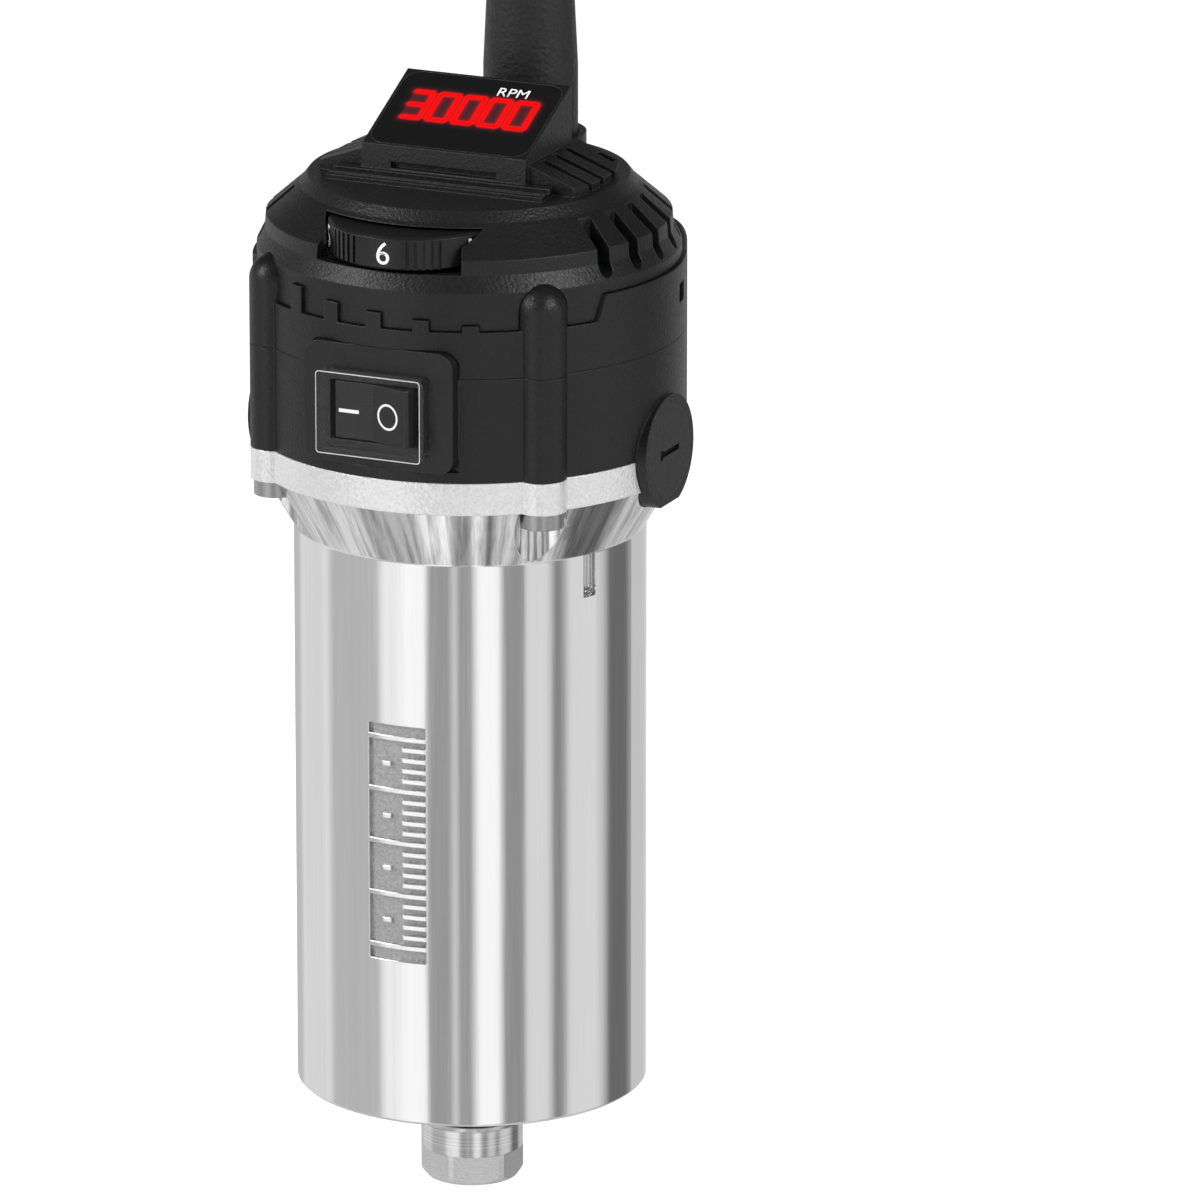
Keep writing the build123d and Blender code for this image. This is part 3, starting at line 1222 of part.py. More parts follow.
def speed_dial():
    """Thumbwheel with six pads and a group of grooves between each two."""
    top = DIAL_LOW + DIAL_T
    wheel = disc(DIAL_R, DIAL_LOW, top)
    wheel = chamfer(wheel.edges().filter_by(GeomType.CIRCLE), DIAL_CHAMFER)
    recess = ring(DIAL_R - DIAL_RIM_T, DIAL_HUB_R, DIAL_LOW - 1, top - DIAL_WEB_T)
    hub = disc(DIAL_HUB_R, DIAL_LOW - DIAL_GAP_LOW, DIAL_LOW - DIAL_GAP_LOW + DIAL_HUB_L)
    cuts = [recess, disc(POT_SHAFT_R + SEAT, DIAL_LOW - DIAL_GAP_LOW - 1, top - DIAL_SHAFT_COVER)]
    tooth = block(-DIAL_GROOVE_W / 2, DIAL_GROOVE_W / 2, -DIAL_R - 1, -DIAL_R + DIAL_GROOVE_D,
                  DIAL_LOW - 1, top - DIAL_GROOVE_TOP)
    step = 360 / DIAL_PADS
    for pad in range(DIAL_PADS):
        for i in range(DIAL_GROOVES):
            angle = (pad + 0.5) * step + (i - (DIAL_GROOVES - 1) / 2) * DIAL_GROOVE_PITCH
            cuts.append(Rot(0, 0, angle) * tooth)
    return Pos(0, DIAL_Y, 0) * without(wheel + hub, cuts)


def pot_low():
    """Top of the control board, where the potentiometer stands."""
    return BOARD_Z + BOARD_T


def dial_potentiometer():
    body = disc(POT_R, pot_low(), pot_low() + POT_H, 0, DIAL_Y)
    return body - disc(POT_SHAFT_R + RUN, pot_low() + 1, pot_low() + POT_H + 1, 0, DIAL_Y)


def pot_shaft():
    return disc(POT_SHAFT_R, pot_low() + 1 + RUN, DIAL_LOW + DIAL_T - DIAL_SHAFT_COVER - RUN, 0, DIAL_Y)


# Electronics

def board_screw_places():
    """Centres of the control board's four screws."""
    return [on_circle(BOARD_SCREW_CENTRE_R, angle) for angle in PILLAR_ANGLES]


def control_board():
    board = disc(BOARD_R, BOARD_Z, BOARD_Z + BOARD_T)
    holes = each_at(board_screw_places(), disc(BOARD_SCREW_R + RUN, BOARD_Z - 1, BOARD_Z + 5))
    return without(board, holes)


def board_screws():
    seat = BOARD_Z + BOARD_T
    screw = pan_screw(BOARD_SCREW_R, BOARD_SCREW_HEAD_R, BOARD_SCREW_HEAD_H, BOARD_Z - LUG_T, seat)
    return each_at(board_screw_places(), screw)


def display_lens():
    """Dark window over the digits."""
    return lens_plane(LENS_T) * rounded_bar(LENS_W, LENS_L, LENS_T, LENS_CORNER)


def digit_module():
    """Block of five light-emitting digits behind the lens."""
    plane = lens_plane(LENS_T + SEAM + DIGIT_T)
    return plane * Pos(0, DIGIT_SHIFT, 0) * rounded_bar(DIGIT_W, DIGIT_L, DIGIT_T, DIGIT_CORNER)


def display_board():
    plane = lens_plane(LENS_T + SEAM + DIGIT_T + BOARD_T)
    return plane * Pos(0, DIGIT_SHIFT, 0) * rounded_bar(
        DIGIT_W, DISPLAY_BOARD_L, BOARD_T, DIGIT_CORNER)


# Cord, boot, hank and plug

def route_point(along, z, shift=0.0):
    """Point of the cord's plane, with a shift across the plane."""
    across_x, across_y = ROUTE_DIR[1], -ROUTE_DIR[0]
    return (ROUTE_DIR[0] * along + across_x * shift, BOOT_Y + ROUTE_DIR[1] * along + across_y * shift, z)


def route_radii(points):
    """Largest tangent arc that each corner of a route leaves room for."""
    radii = []
    for before, here, after in zip(points, points[1:], points[2:]):
        arriving = Vector(*here) - Vector(*before)
        leaving = Vector(*after) - Vector(*here)
        turn = arriving.get_angle(leaving)
        shorter = min(arriving.length, leaving.length)
        radii.append(0.45 * shorter / math.tan(math.radians(turn / 2)))
    return radii


def cord_tube(points, label):
    """Round cord along straight runs joined by tangent arcs."""
    radii = route_radii(points)
    path = FilletPolyline(*points, radius=radii)
    tube = sweep(Plane(path @ 0, z_dir=path % 0) * Circle(CORD_D / 2), path=path)
    expected = math.pi * (CORD_D / 2) ** 2 * path.length
    print(label, "radii", [round(r) for r in radii], "length", round(path.length),
          "volume ratio", round(tube.volume / expected, 4))
    return tube


def cord_boot():
    """Tapered rubber sleeve round the cord where it leaves the cap."""
    low = BOOT_LOW + BOOT_FIT
    inner = CORD_D / 2 + RUN
    sleeve = turned([(inner, low), (BOOT_R, low), (BOOT_R, BOOT_LOW + BOOT_STRAIGHT),
                     (BOOT_TOP_R, BOOT_TOP - BOOT_TOP_CHAMFER), (BOOT_TOP_R - BOOT_TOP_CHAMFER, BOOT_TOP),
                     (inner, BOOT_TOP)])
    return Pos(0, BOOT_Y, 0) * sleeve


def cord_inner_end():
    """Cord from the strap up through the boot."""
    return disc(CORD_D / 2, LEAD_LOW, BOOT_TOP, 0, BOOT_Y)


def layer_shift(layer):
    """Distance across the route's plane of one layer of the hank."""
    return -layer * CORD_D


def hank_plane():
    """Plane of the hank at its middle layer: its X runs away from the body, its Y up."""
    middle = layer_shift((HANK_LAYERS - 1) / 2)
    return Plane(route_point(0, 0, middle), x_dir=(ROUTE_DIR[0], ROUTE_DIR[1], 0),
                 z_dir=(ROUTE_DIR[1], -ROUTE_DIR[0], 0))


def hank_centre():
    """(distance, height) of the middle of the hank."""
    return HANK_FAR - FOLD_R, (HANK_TOP + HANK_BOTTOM) / 2


def hank_outline():
    """Outline of the tied hank: two round folds and a narrower waist."""
    fold = FOLD_R + CORD_D / 2
    centre, middle = hank_centre()
    side = [(fold, HANK_TOP), (WAIST_HALF, middle + WAIST_H / 2), (WAIST_HALF, middle - WAIST_H / 2),
            (fold, HANK_BOTTOM)]
    points = [(centre + x, z) for x, z in side] + [(centre - x, z) for x, z in reversed(side)]
    folds = [Pos(centre, z) * Circle(fold) for z in (HANK_TOP, HANK_BOTTOM)]
    return make_face(Polyline(*points, close=True)) + folds


def cord_hank():
    width = HANK_LAYERS * CORD_D
    slab = extrude(hank_outline(), width)
    return hank_plane() * Pos(0, 0, -width / 2) * slab


def cord_tie():
    """Strap round the waist of the hank."""
    width = HANK_LAYERS * CORD_D + 2 * CLEAR
    centre, middle = hank_centre()
    half = WAIST_HALF + CLEAR
    outer = Box(2 * (half + TIE_T), TIE_H, width + 2 * TIE_T)
    inner = Box(2 * half, TIE_H + 2, width)
    return hank_plane() * Pos(centre, middle, 0) * (outer - inner)


def plug_plane():
    """Plane at the cord's end of the plug, its Z pointing up to the blades."""
    origin = route_point(*TAIL[-1], layer_shift(HANK_LAYERS - 1))
    return Plane(origin, x_dir=(ROUTE_DIR[1], -ROUTE_DIR[0], 0), z_dir=(0, 0, 1))


def plug_body():
    """Moulded plug with its own tapered strain relief."""
    relief = Pos(0, 0, PLUG_RELIEF_L / 2) * Cone(CORD_D / 2 + PLUG_RELIEF_WALL, PLUG_RELIEF_R, PLUG_RELIEF_L)
    neck = Pos(0, 0, PLUG_RELIEF_L - BLEND) * rounded_bar(
        PLUG_NECK_W, PLUG_NECK_T, PLUG_NECK_L + BLEND, PLUG_NECK_CORNER)
    head_low = PLUG_RELIEF_L + PLUG_NECK_L - BLEND
    head = Pos(0, 0, head_low) * rounded_bar(PLUG_W, PLUG_T, PLUG_L - PLUG_NECK_L, PLUG_CORNER)
    return plug_plane() * (relief + neck + head)


def plug_blades():
    low = PLUG_RELIEF_L - BLEND + PLUG_L
    return [plug_plane() * Pos(x, 0, low + BLADE_L / 2) * Box(BLADE_T, BLADE_W, BLADE_L)
            for x in (-BLADE_PITCH / 2, BLADE_PITCH / 2)]


# Build and write every sub-part
save("clamp_body", clamp_body())
save("bearing_retainer", bearing_retainer())
group("retainer_screws", retainer_screws())
group("housing_screws", housing_screws())

front_inner, front_outer, front_cage, front_balls = ball_bearing(
    FRONT_BORE_R, FRONT_OUT_R, FRONT_W, FRONT_BALL_R, FRONT_BALLS, LIP_T)
save("front_bearing_inner_ring", front_inner)
save("front_bearing_outer_ring", front_outer)
save("front_bearing_cage", front_cage)
group("front_bearing_balls", front_balls)

rear_inner, rear_outer, rear_cage, rear_balls = ball_bearing(
    REAR_BORE_R, REAR_OUT_R, REAR_W, REAR_BALL_R, REAR_BALLS, REAR_Z)
save("rear_bearing_inner_ring", rear_inner)
save("rear_bearing_outer_ring", rear_outer)
save("rear_bearing_cage", rear_cage)
group("rear_bearing_balls", rear_balls)
washer_low = REAR_Z + REAR_W + SEAT
save("bearing_washer", ring(REAR_OUT_R - RUN, REAR_OUT_R - WASHER_W, washer_low, washer_low + WASHER_T))

save("spindle_shaft", spindle_shaft())
save("collet", collet())
save("collet_nut", collet_nut())
save("cooling_fan", cooling_fan())
save("fan_baffle", fan_baffle())
save("stator_core", stator_core())
group("field_coils", [field_coil(0), field_coil(180)])
save("armature_core", armature_core())
save("armature_windings", armature_windings())
commutator_hub, commutator_bars = commutator()
save("commutator_hub", commutator_hub)
group("commutator_bars", commutator_bars)
magnet_low = REAR_Z + REAR_W + CLEAR
save("speed_magnet", ring(MAGNET_R, TAIL_R + SEAT, magnet_low, magnet_low + MAGNET_H))

for side_name, sign in SIDES:
    save(f"brush_holder_{side_name}", brush_holder(sign))
    save(f"carbon_brush_{side_name}", carbon_brush(sign))
    save(f"brush_spring_{side_name}", brush_spring(sign))
    save(f"spring_terminal_{side_name}", spring_terminal(sign))
    save(f"brush_cap_{side_name}", brush_cap(sign))

save("brush_housing", brush_housing())
save("middle_ring", middle_ring())
save("top_cap", top_cap())
save("switch_body", switch_body())
group("switch_terminals", switch_terminals())
save("switch_rocker", switch_rocker())
save("switch_cover", switch_cover())
save("speed_dial", speed_dial())
save("dial_potentiometer", dial_potentiometer())
save("pot_shaft", pot_shaft())
save("control_board", control_board())
group("board_screws", board_screws())
save("display_lens", display_lens())
save("digit_module", digit_module())
save("display_board", display_board())
save("cord_strap", cord_strap())
group("strap_screws", strap_screws())
save("cord_boot", cord_boot())
save("cord_inner_end", cord_inner_end())
save("power_cord", cord_tube([route_point(*point) for point in ROUTE], "power_cord"))
save("cord_hank", cord_hank())
save("cord_tie", cord_tie())
tail_layer = layer_shift(HANK_LAYERS - 1)
save("cord_tail", cord_tube([route_point(*point, tail_layer) for point in TAIL], "cord_tail"))
save("plug_body", plug_body())
group("plug_blades", plug_blades())
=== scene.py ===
"""Looks of a milling motor with a round clamping body, a collet nose and a black control head.

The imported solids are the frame. This script gives them their finishes, adds the printed and glowing
marks, the mains cord and the studio, and reports each piece as it is made.
"""

from __future__ import annotations

import json
import logging
import math
from dataclasses import dataclass, field
from enum import Enum

import bpy
import numpy as np
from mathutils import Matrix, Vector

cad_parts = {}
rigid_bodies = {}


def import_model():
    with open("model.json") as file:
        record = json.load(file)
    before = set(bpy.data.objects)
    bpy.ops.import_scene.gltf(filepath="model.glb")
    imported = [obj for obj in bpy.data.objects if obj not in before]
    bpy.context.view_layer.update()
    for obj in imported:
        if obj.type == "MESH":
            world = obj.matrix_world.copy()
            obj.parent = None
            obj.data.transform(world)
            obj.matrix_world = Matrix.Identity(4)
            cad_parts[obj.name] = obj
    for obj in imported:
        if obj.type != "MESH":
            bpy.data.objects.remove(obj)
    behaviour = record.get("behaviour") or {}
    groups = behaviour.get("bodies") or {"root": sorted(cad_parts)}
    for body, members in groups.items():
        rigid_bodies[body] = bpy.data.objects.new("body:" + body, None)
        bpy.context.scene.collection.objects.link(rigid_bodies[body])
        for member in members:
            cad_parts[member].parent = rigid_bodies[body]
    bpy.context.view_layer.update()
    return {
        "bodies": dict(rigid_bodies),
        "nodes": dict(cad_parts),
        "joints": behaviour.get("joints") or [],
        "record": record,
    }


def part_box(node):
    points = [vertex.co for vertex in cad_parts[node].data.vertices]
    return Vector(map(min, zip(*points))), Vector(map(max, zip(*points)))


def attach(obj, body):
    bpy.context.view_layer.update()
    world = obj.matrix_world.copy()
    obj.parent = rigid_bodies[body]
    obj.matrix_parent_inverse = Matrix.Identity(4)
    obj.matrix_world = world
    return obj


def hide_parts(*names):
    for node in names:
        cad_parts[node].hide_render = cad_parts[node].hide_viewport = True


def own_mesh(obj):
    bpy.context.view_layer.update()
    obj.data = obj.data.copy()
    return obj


LOG = logging.getLogger("milling_motor")
MM = 0.001
BODY_RADIUS = 32.5 * MM
NUT_FLATS_TOP = -14.5 * MM  # the collet nut's flats lie below this height


class Body(Enum):
    """Moving bodies of the motor that a piece can ride on."""

    HOUSING = "housing"
    ROCKER = "rocker"
    DIAL = "dial"


# Shapes


def mesh_object(name: str, points: np.ndarray, faces: list,
                smooth: bool = True) -> bpy.types.Object:
    """Makes an object from points and faces.

    Args:
        name: Name of the piece.
        points: Array of corners, one row of three each, in metres.
        faces: Lists of corner numbers, counted so that faces point outwards.
        smooth: Whether the faces are shaded smooth.

    Returns:
        The new object, linked to the scene.
    """
    mesh = bpy.data.meshes.new(name)
    mesh.from_pydata(np.asarray(points, float).tolist(), [], faces)
    mesh.polygons.foreach_set("use_smooth", np.full(len(mesh.polygons), smooth))
    mesh.update()
    piece = bpy.data.objects.new(name, mesh)
    bpy.context.scene.collection.objects.link(piece)
    return piece


def rectangle(half_u: float, half_v: float) -> np.ndarray:
    """Corners (u, v) of a rectangle round the origin, counter-clockwise."""
    return np.array([(-half_u, -half_v), (half_u, -half_v), (half_u, half_v), (-half_u, half_v)])


def slab(name: str, outline: np.ndarray, thickness: float, to_space) -> bpy.types.Object:
    """Makes a thin plate from a flat outline.

    The outline is carried from depth 0 to the thickness, so a corner (u, v) becomes the two points
    to_space(u, v, 0) and to_space(u, v, thickness).

    Args:
        name: Name of the piece.
        outline: Corners (u, v), counter-clockwise seen from outside.
        thickness: Height of the plate above its base.
        to_space: Function from (u, v, w) arrays to points in metres.

    Returns:
        The plate.
    """
    u, v = outline[:, 0], outline[:, 1]
    count = len(outline)
    base = to_space(u, v, np.zeros(count))
    top = to_space(u, v, np.full(count, thickness))
    ring = np.arange(count)
    following = np.roll(ring, -1)
    sides = np.stack([ring, following, following + count, ring + count], axis=1)
    faces = [list(range(count - 1, -1, -1)), list(range(count, 2 * count))]
    return mesh_object(name, np.concatenate([base, top]), faces + sides.tolist(), smooth=False)


def ring_band(name: str, outer: np.ndarray, inner: np.ndarray, thickness: float,
              to_space) -> bpy.types.Object:
    """Makes a thin closed band between two outlines with the same number of corners.

    Args:
        name: Name of the piece.
        outer: Outer corners (u, v), counter-clockwise seen from outside.
        inner: Inner corners in the same order.
        thickness: Height of the band above its base.
        to_space: Function from (u, v, w) arrays to points in metres.

    Returns:
        The band.
    """
    count = len(outer)
    levels = [(outer, thickness), (inner, thickness), (inner, 0.0), (outer, 0.0)]
    points = [to_space(edge[:, 0], edge[:, 1], np.full(count, level)) for edge, level in levels]
    ring = np.arange(count)
    following = np.roll(ring, -1)
    faces = []
    for level in range(4):
        here, there = level * count, (level + 1) % 4 * count
        sides = [here + ring, here + following, there + following, there + ring]
        faces += np.stack(sides, axis=1).tolist()
    return mesh_object(name, np.concatenate(points), faces, smooth=False)


def fine_plate(name: str, u: np.ndarray, v: np.ndarray, low: float, high: float, to_space,
               **shades: np.ndarray) -> bpy.types.Object:
    """Makes a thin closed plate with a fine grid, so that its points can carry shades.

    The grid's corner (i, j) is at (u[i], v[j]) on the top and again on the underside, and a row of
    narrow faces joins the two along the border.

    Args:
        name: Name of the piece.
        u: Rising places along the first axis.
        v: Rising places along the second axis.
        low: Depth of the underside.
        high: Height of the top.
        to_space: Function from (u, v, w) arrays to points in metres.
        **shades: Value of each grid corner, by the name of the attribute that keeps it.

    Returns:
        The plate.
    """
    grid_u, grid_v = (part.ravel() for part in np.meshgrid(u, v, indexing="ij"))
    count = len(grid_u)
    number = np.arange(count).reshape(len(u), len(v))
    corners = [number[:-1, :-1], number[1:, :-1], number[1:, 1:], number[:-1, 1:]]
    cells = np.stack(corners, axis=-1).reshape(-1, 4)
    border = np.concatenate([number[:-1, 0], number[-1, :-1], number[:0:-1, -1], number[0, :0:-1]])
    following = np.roll(border, -1)
    sides = np.stack([border + count, following + count, following, border], axis=1)
    levels = [to_space(grid_u, grid_v, np.full(count, depth)) for depth in (high, low)]
    faces = np.concatenate([cells, cells[:, ::-1] + count, sides])
    plate = mesh_object(name, np.concatenate(levels), faces.tolist(), smooth=False)
    for shade, values in shades.items():
        attribute = plate.data.attributes.new(shade, "FLOAT", "POINT")
        attribute.data.foreach_set("value", np.tile(values, 2))
    return plate


def lettering(name: str, text: str, height: float, depth: float) -> bpy.types.Object:
    """Makes raised plain characters as a mesh, centred on their own middle.

    Args:
        name: Name of the piece.
        text: The characters.
        height: Height of a capital in metres.
        depth: How far the characters stand up.

    Returns:
        The characters, flat in the XY plane.
    """
    curve = bpy.data.curves.new(name, "FONT")
    curve.body = text
    curve.align_x = "CENTER"
    curve.align_y = "CENTER"
    curve.extrude = depth / 2 / height
    curve.resolution_u = 6
    source = bpy.data.objects.new(name + "_curve", curve)
    bpy.context.scene.collection.objects.link(source)
    bpy.context.view_layer.update()
    mesh = bpy.data.meshes.new_from_object(source)
    bpy.data.objects.remove(source)
    points = np.zeros(len(mesh.vertices) * 3)
    mesh.vertices.foreach_get("co", points)
    points = points.reshape(-1, 3)
    middle = (points.max(axis=0) + points.min(axis=0)) / 2
    tall = points[:, 1].max() - points[:, 1].min()
    points = (points - middle) * (height / tall)
    points[:, 2] *= depth / max(float(np.ptp(points[:, 2])), 1e-9)
    mesh.vertices.foreach_set("co", points.ravel())
    mesh.update()
    piece = bpy.data.objects.new(name, mesh)
    bpy.context.scene.collection.objects.link(piece)
    return piece


def move_points(piece: bpy.types.Object, to_space) -> None:
    """Carries a piece's points through a function.

    Args:
        piece: Mesh object whose points are in its own plane.
        to_space: Function from (u, v, w) arrays to points in metres.
    """
    points = np.zeros(len(piece.data.vertices) * 3)
    piece.data.vertices.foreach_get("co", points)
    points = points.reshape(-1, 3)
    moved = to_space(points[:, 0], points[:, 1], points[:, 2])
    piece.data.vertices.foreach_set("co", moved.ravel())
    piece.data.update()


@dataclass(frozen=True)
class Facing:
    """A flat place in space with its own u, v and outward w directions."""

    origin: tuple[float, float, float]
    u_axis: tuple[float, float, float]
    v_axis: tuple[float, float, float]

    def __call__(self, u: np.ndarray, v: np.ndarray, w: np.ndarray) -> np.ndarray:
        """Returns origin + u * first axis + v * second axis + w * their cross product."""
        first, second = np.array(self.u_axis), np.array(self.v_axis)
        third = np.cross(first, second)
        return np.array(self.origin) + np.outer(u, first) + np.outer(v, second) + np.outer(w, third)


# Shader building


def grey(level: float) -> tuple[float, float, float, float]:
    """Returns a plain grey as a full colour."""
    return level, level, level, 1.0


class Nodes:
    """Adds and links nodes in one tree."""

    def __init__(self, tree: bpy.types.NodeTree) -> None:
        """Keeps the tree that the nodes go into."""
        self.tree = tree

    def add(self, kind: str, **settings) -> bpy.types.Node:
        """Adds a node.

        Args:
            kind: Blender's name of the node type without its ShaderNode prefix.
            **settings: Properties of the node.

        Returns:
            The node.
        """
        node = self.tree.nodes.new("ShaderNode" + kind)
        for name, value in settings.items():
            setattr(node, name, value)
        return node

    def feed(self, target: bpy.types.NodeSocket, value) -> None:
        """Links a socket to the target, or writes a plain value into it."""
        if isinstance(value, bpy.types.NodeSocket):
            self.tree.links.new(value, target)
        else:
            target.default_value = value

    def math(self, operation: str, *values, clamp: bool = False) -> bpy.types.NodeSocket:
        """Adds a Math node and returns its result."""
        node = self.add("Math", operation=operation, use_clamp=clamp)
        for socket, value in zip(node.inputs, values):
            self.feed(socket, value)
        return node.outputs[0]

    def both(self, first, second) -> bpy.types.NodeSocket:
        """Multiplies two values, which for masks leaves what lies in both."""
        return self.math("MULTIPLY", first, second)

    def blend(self, factor, low, high) -> bpy.types.NodeSocket:
        """Mixes two colours by a factor and returns the colour."""
        node = self.add("Mix", data_type="RGBA")
        for socket, entry in ((0, factor), (6, low), (7, high)):
            self.feed(node.inputs[socket], entry)
        return node.outputs[2]

    def level(self, factor, low, high) -> bpy.types.NodeSocket:
        """Mixes two values by a factor and returns the value."""
        node = self.add("Mix", data_type="FLOAT")
        for socket, entry in ((0, factor), (2, low), (3, high)):
            self.feed(node.inputs[socket], entry)
        return node.outputs[0]

    def dot(self, vector, axis) -> bpy.types.NodeSocket:
        """Returns how far a vector reaches along an axis, given as numbers or a socket."""
        node = self.add("VectorMath", operation="DOT_PRODUCT")
        self.feed(node.inputs[0], vector)
        self.feed(node.inputs[1], axis)
        return node.outputs["Value"]

    def between(self, value, low: float, high: float, to_low: float,
                to_high: float) -> bpy.types.NodeSocket:
        """Maps a value from one range to another, clamped."""
        node = self.add("MapRange", clamp=True)
        for socket, entry in zip(node.inputs, (value, low, high, to_low, to_high)):
            self.feed(socket, entry)
        return node.outputs[0]

    def place(self) -> bpy.types.NodeSocket:
        """Returns the piece's own coordinates."""
        return self.add("TexCoord").outputs["Object"]

    def split(self, vector) -> tuple:
        """Returns the x, y and z of a vector."""
        node = self.add("SeparateXYZ")
        self.feed(node.inputs[0], vector)
        return node.outputs[0], node.outputs[1], node.outputs[2]

    def radius(self) -> bpy.types.NodeSocket:
        """Returns the distance from the spindle axis."""
        x, y, _ = self.split(self.place())
        squares = [self.math("MULTIPLY", side, side) for side in (x, y)]
        return self.math("SQRT", self.math("ADD", *squares))

    def group(self, tree: bpy.types.NodeTree, **values) -> bpy.types.Node:
        """Places a shared node group with its own values."""
        node = self.add("Group", node_tree=tree)
        for name, value in values.items():
            self.feed(node.inputs[name], value)
        return node


class SharedEffects:
    """Node groups that several finishes use, each built once."""

    def __init__(self) -> None:
        """Builds every group."""
        self.grain = self.make_grain()
        self.streaks = self.make_streaks()
        self.rings = self.make_rings()
        self.soft_edge = self.make_soft_edge()

    def open_group(self, name: str, inputs: dict[str, float],
                   outputs: dict[str, str]) -> tuple[Nodes, dict, bpy.types.Node]:
        """Starts a group with the named inputs and outputs.

        Args:
            name: Name of the group.
            inputs: Value inputs and their defaults.
            outputs: Output names and socket types.

        Returns:
            The node helper, the group's input sockets by name and its output node.
        """
        tree = bpy.data.node_groups.new(name, "ShaderNodeTree")
        for label, default in inputs.items():
            socket = tree.interface.new_socket(label, in_out="INPUT", socket_type="NodeSocketFloat")
            socket.default_value = default
        for label, kind in outputs.items():
            tree.interface.new_socket(label, in_out="OUTPUT", socket_type=kind)
        source = tree.nodes.new("NodeGroupInput")
        result = tree.nodes.new("NodeGroupOutput")
        return Nodes(tree), {s.name: s for s in source.outputs if s.name}, result

    def noise(self, nodes: Nodes, vector, scale, detail: float) -> bpy.types.Node:
        """Adds a noise texture that reads a vector."""
        texture = nodes.add("TexNoise")
        nodes.feed(texture.inputs["Vector"], vector)
        nodes.feed(texture.inputs["Scale"], scale)
        texture.inputs["Detail"].default_value = detail
        return texture

    def make_grain(self) -> bpy.types.NodeTree:
        """Fine moulded grain: the sum of a fine and a coarser noise."""
        nodes, given, result = self.open_group(
            "Moulded grain", {"Scale": 2500.0}, {"Height": "NodeSocketFloat"})
        fine = self.noise(nodes, nodes.place(), given["Scale"], 3.0)
        coarse = nodes.add("TexVoronoi")
        nodes.feed(coarse.inputs["Vector"], nodes.place())
        nodes.feed(coarse.inputs["Scale"], given["Scale"])
        height = nodes.math("ADD", fine.outputs[0], nodes.both(coarse.outputs["Distance"], 0.6))
        nodes.feed(result.inputs["Height"], height)
        return nodes.tree

    def make_streaks(self) -> bpy.types.NodeTree:
        """Brush marks along the axis: noise of the angle round it, stretched along the height."""
        nodes, given, result = self.open_group(
            "Axial streaks", {"Scale": 900.0, "Stretch": 60.0}, {"Value": "NodeSocketFloat"})
        x, y, z = nodes.split(nodes.place())
        reach = nodes.radius()
        join = nodes.add("CombineXYZ")
        for socket, side in zip(join.inputs, (x, y)):
            nodes.feed(socket, nodes.both(nodes.math("DIVIDE", side, reach), BODY_RADIUS))
        nodes.feed(join.inputs[2], nodes.math("DIVIDE", z, given["Stretch"]))
        noise = self.noise(nodes, join.outputs[0], given["Scale"], 4.0)
        noise.inputs["Roughness"].default_value = 0.65
        nodes.feed(result.inputs["Value"], noise.outputs[0])
        return nodes.tree

    def make_rings(self) -> bpy.types.NodeTree:
        """Turning marks: noise of the height and the distance from the axis."""
        nodes, given, result = self.open_group(
            "Turned rings", {"Scale": 4000.0}, {"Value": "NodeSocketFloat"})
        _, _, z = nodes.split(nodes.place())
        join = nodes.add("CombineXYZ")
        nodes.feed(join.inputs[0], nodes.radius())
        nodes.feed(join.inputs[2], z)
        noise = self.noise(nodes, join.outputs[0], given["Scale"], 2.0)
        nodes.feed(result.inputs["Value"], noise.outputs[0])
        return nodes.tree

    def make_soft_edge(self) -> bpy.types.NodeTree:
        """Rounded edges: a normal that turns over each edge, and a mask that is 1 on the edge."""
        nodes, given, result = self.open_group(
            "Soft edge", {"Radius": 0.0003},
            {"Normal": "NodeSocketVector", "Edge": "NodeSocketFloat"})
        bevel = nodes.add("Bevel", samples=6)
        nodes.feed(bevel.inputs["Radius"], given["Radius"])
        flat = nodes.add("NewGeometry")
        nodes.feed(result.inputs["Normal"], bevel.outputs[0])
        along = nodes.dot(bevel.outputs[0], flat.outputs["Normal"])
        nodes.feed(result.inputs["Edge"], nodes.between(along, 0.75, 1.0, 1.0, 0.0))
        return nodes.tree


# Finishes


@dataclass(frozen=True)
class Finish:
    """A finish of one material: a plain base that a subclass adds its marks to."""

    name: str
    colour: tuple[float, float, float]
    roughness: float = 0.5
    metallic: float = 0.0
    edge_radius: float = 0.3 * MM

    def full(self, share: float = 1.0) -> tuple[float, float, float, float]:
        """Returns a share of the colour, opaque."""
        red, green, blue = self.colour
        return share * red, share * green, share * blue, 1.0

    def start(self) -> tuple[bpy.types.Material, Nodes, bpy.types.Node]:
        """Makes the material with its Principled shader.

        Returns:
            The material, the node helper and the shader.
        """
        material = bpy.data.materials.new(self.name)
        material.use_nodes = True
        material.diffuse_color = self.full()
        shader = material.node_tree.nodes["Principled BSDF"]
        shader.inputs["Base Color"].default_value = self.full()
        shader.inputs["Roughness"].default_value = self.roughness
        shader.inputs["Metallic"].default_value = self.metallic
        return material, Nodes(material.node_tree), shader

    def gloss(self, nodes: Nodes, value, low: float, high: float, less: float,
              more: float) -> bpy.types.NodeSocket:
        """Maps a value's range to shares of the finish's roughness, from less to more."""
        return nodes.between(value, low, high, self.roughness * less, self.roughness * more)

    def bump(self, nodes: Nodes, height, strength: float, distance: float,
             normal=None) -> bpy.types.NodeSocket:
        """Turns a height into a normal, on top of another normal if one is given."""
        node = nodes.add("Bump")
        node.inputs["Strength"].default_value = strength
        node.inputs["Distance"].default_value = distance
        nodes.feed(node.inputs["Height"], height)
        if normal is not None:
            nodes.feed(node.inputs["Normal"], normal)
        return node.outputs[0]

    def make(self, shared: SharedEffects) -> bpy.types.Material:
        """Builds the material; each kind of finish has its own way."""
        raise NotImplementedError


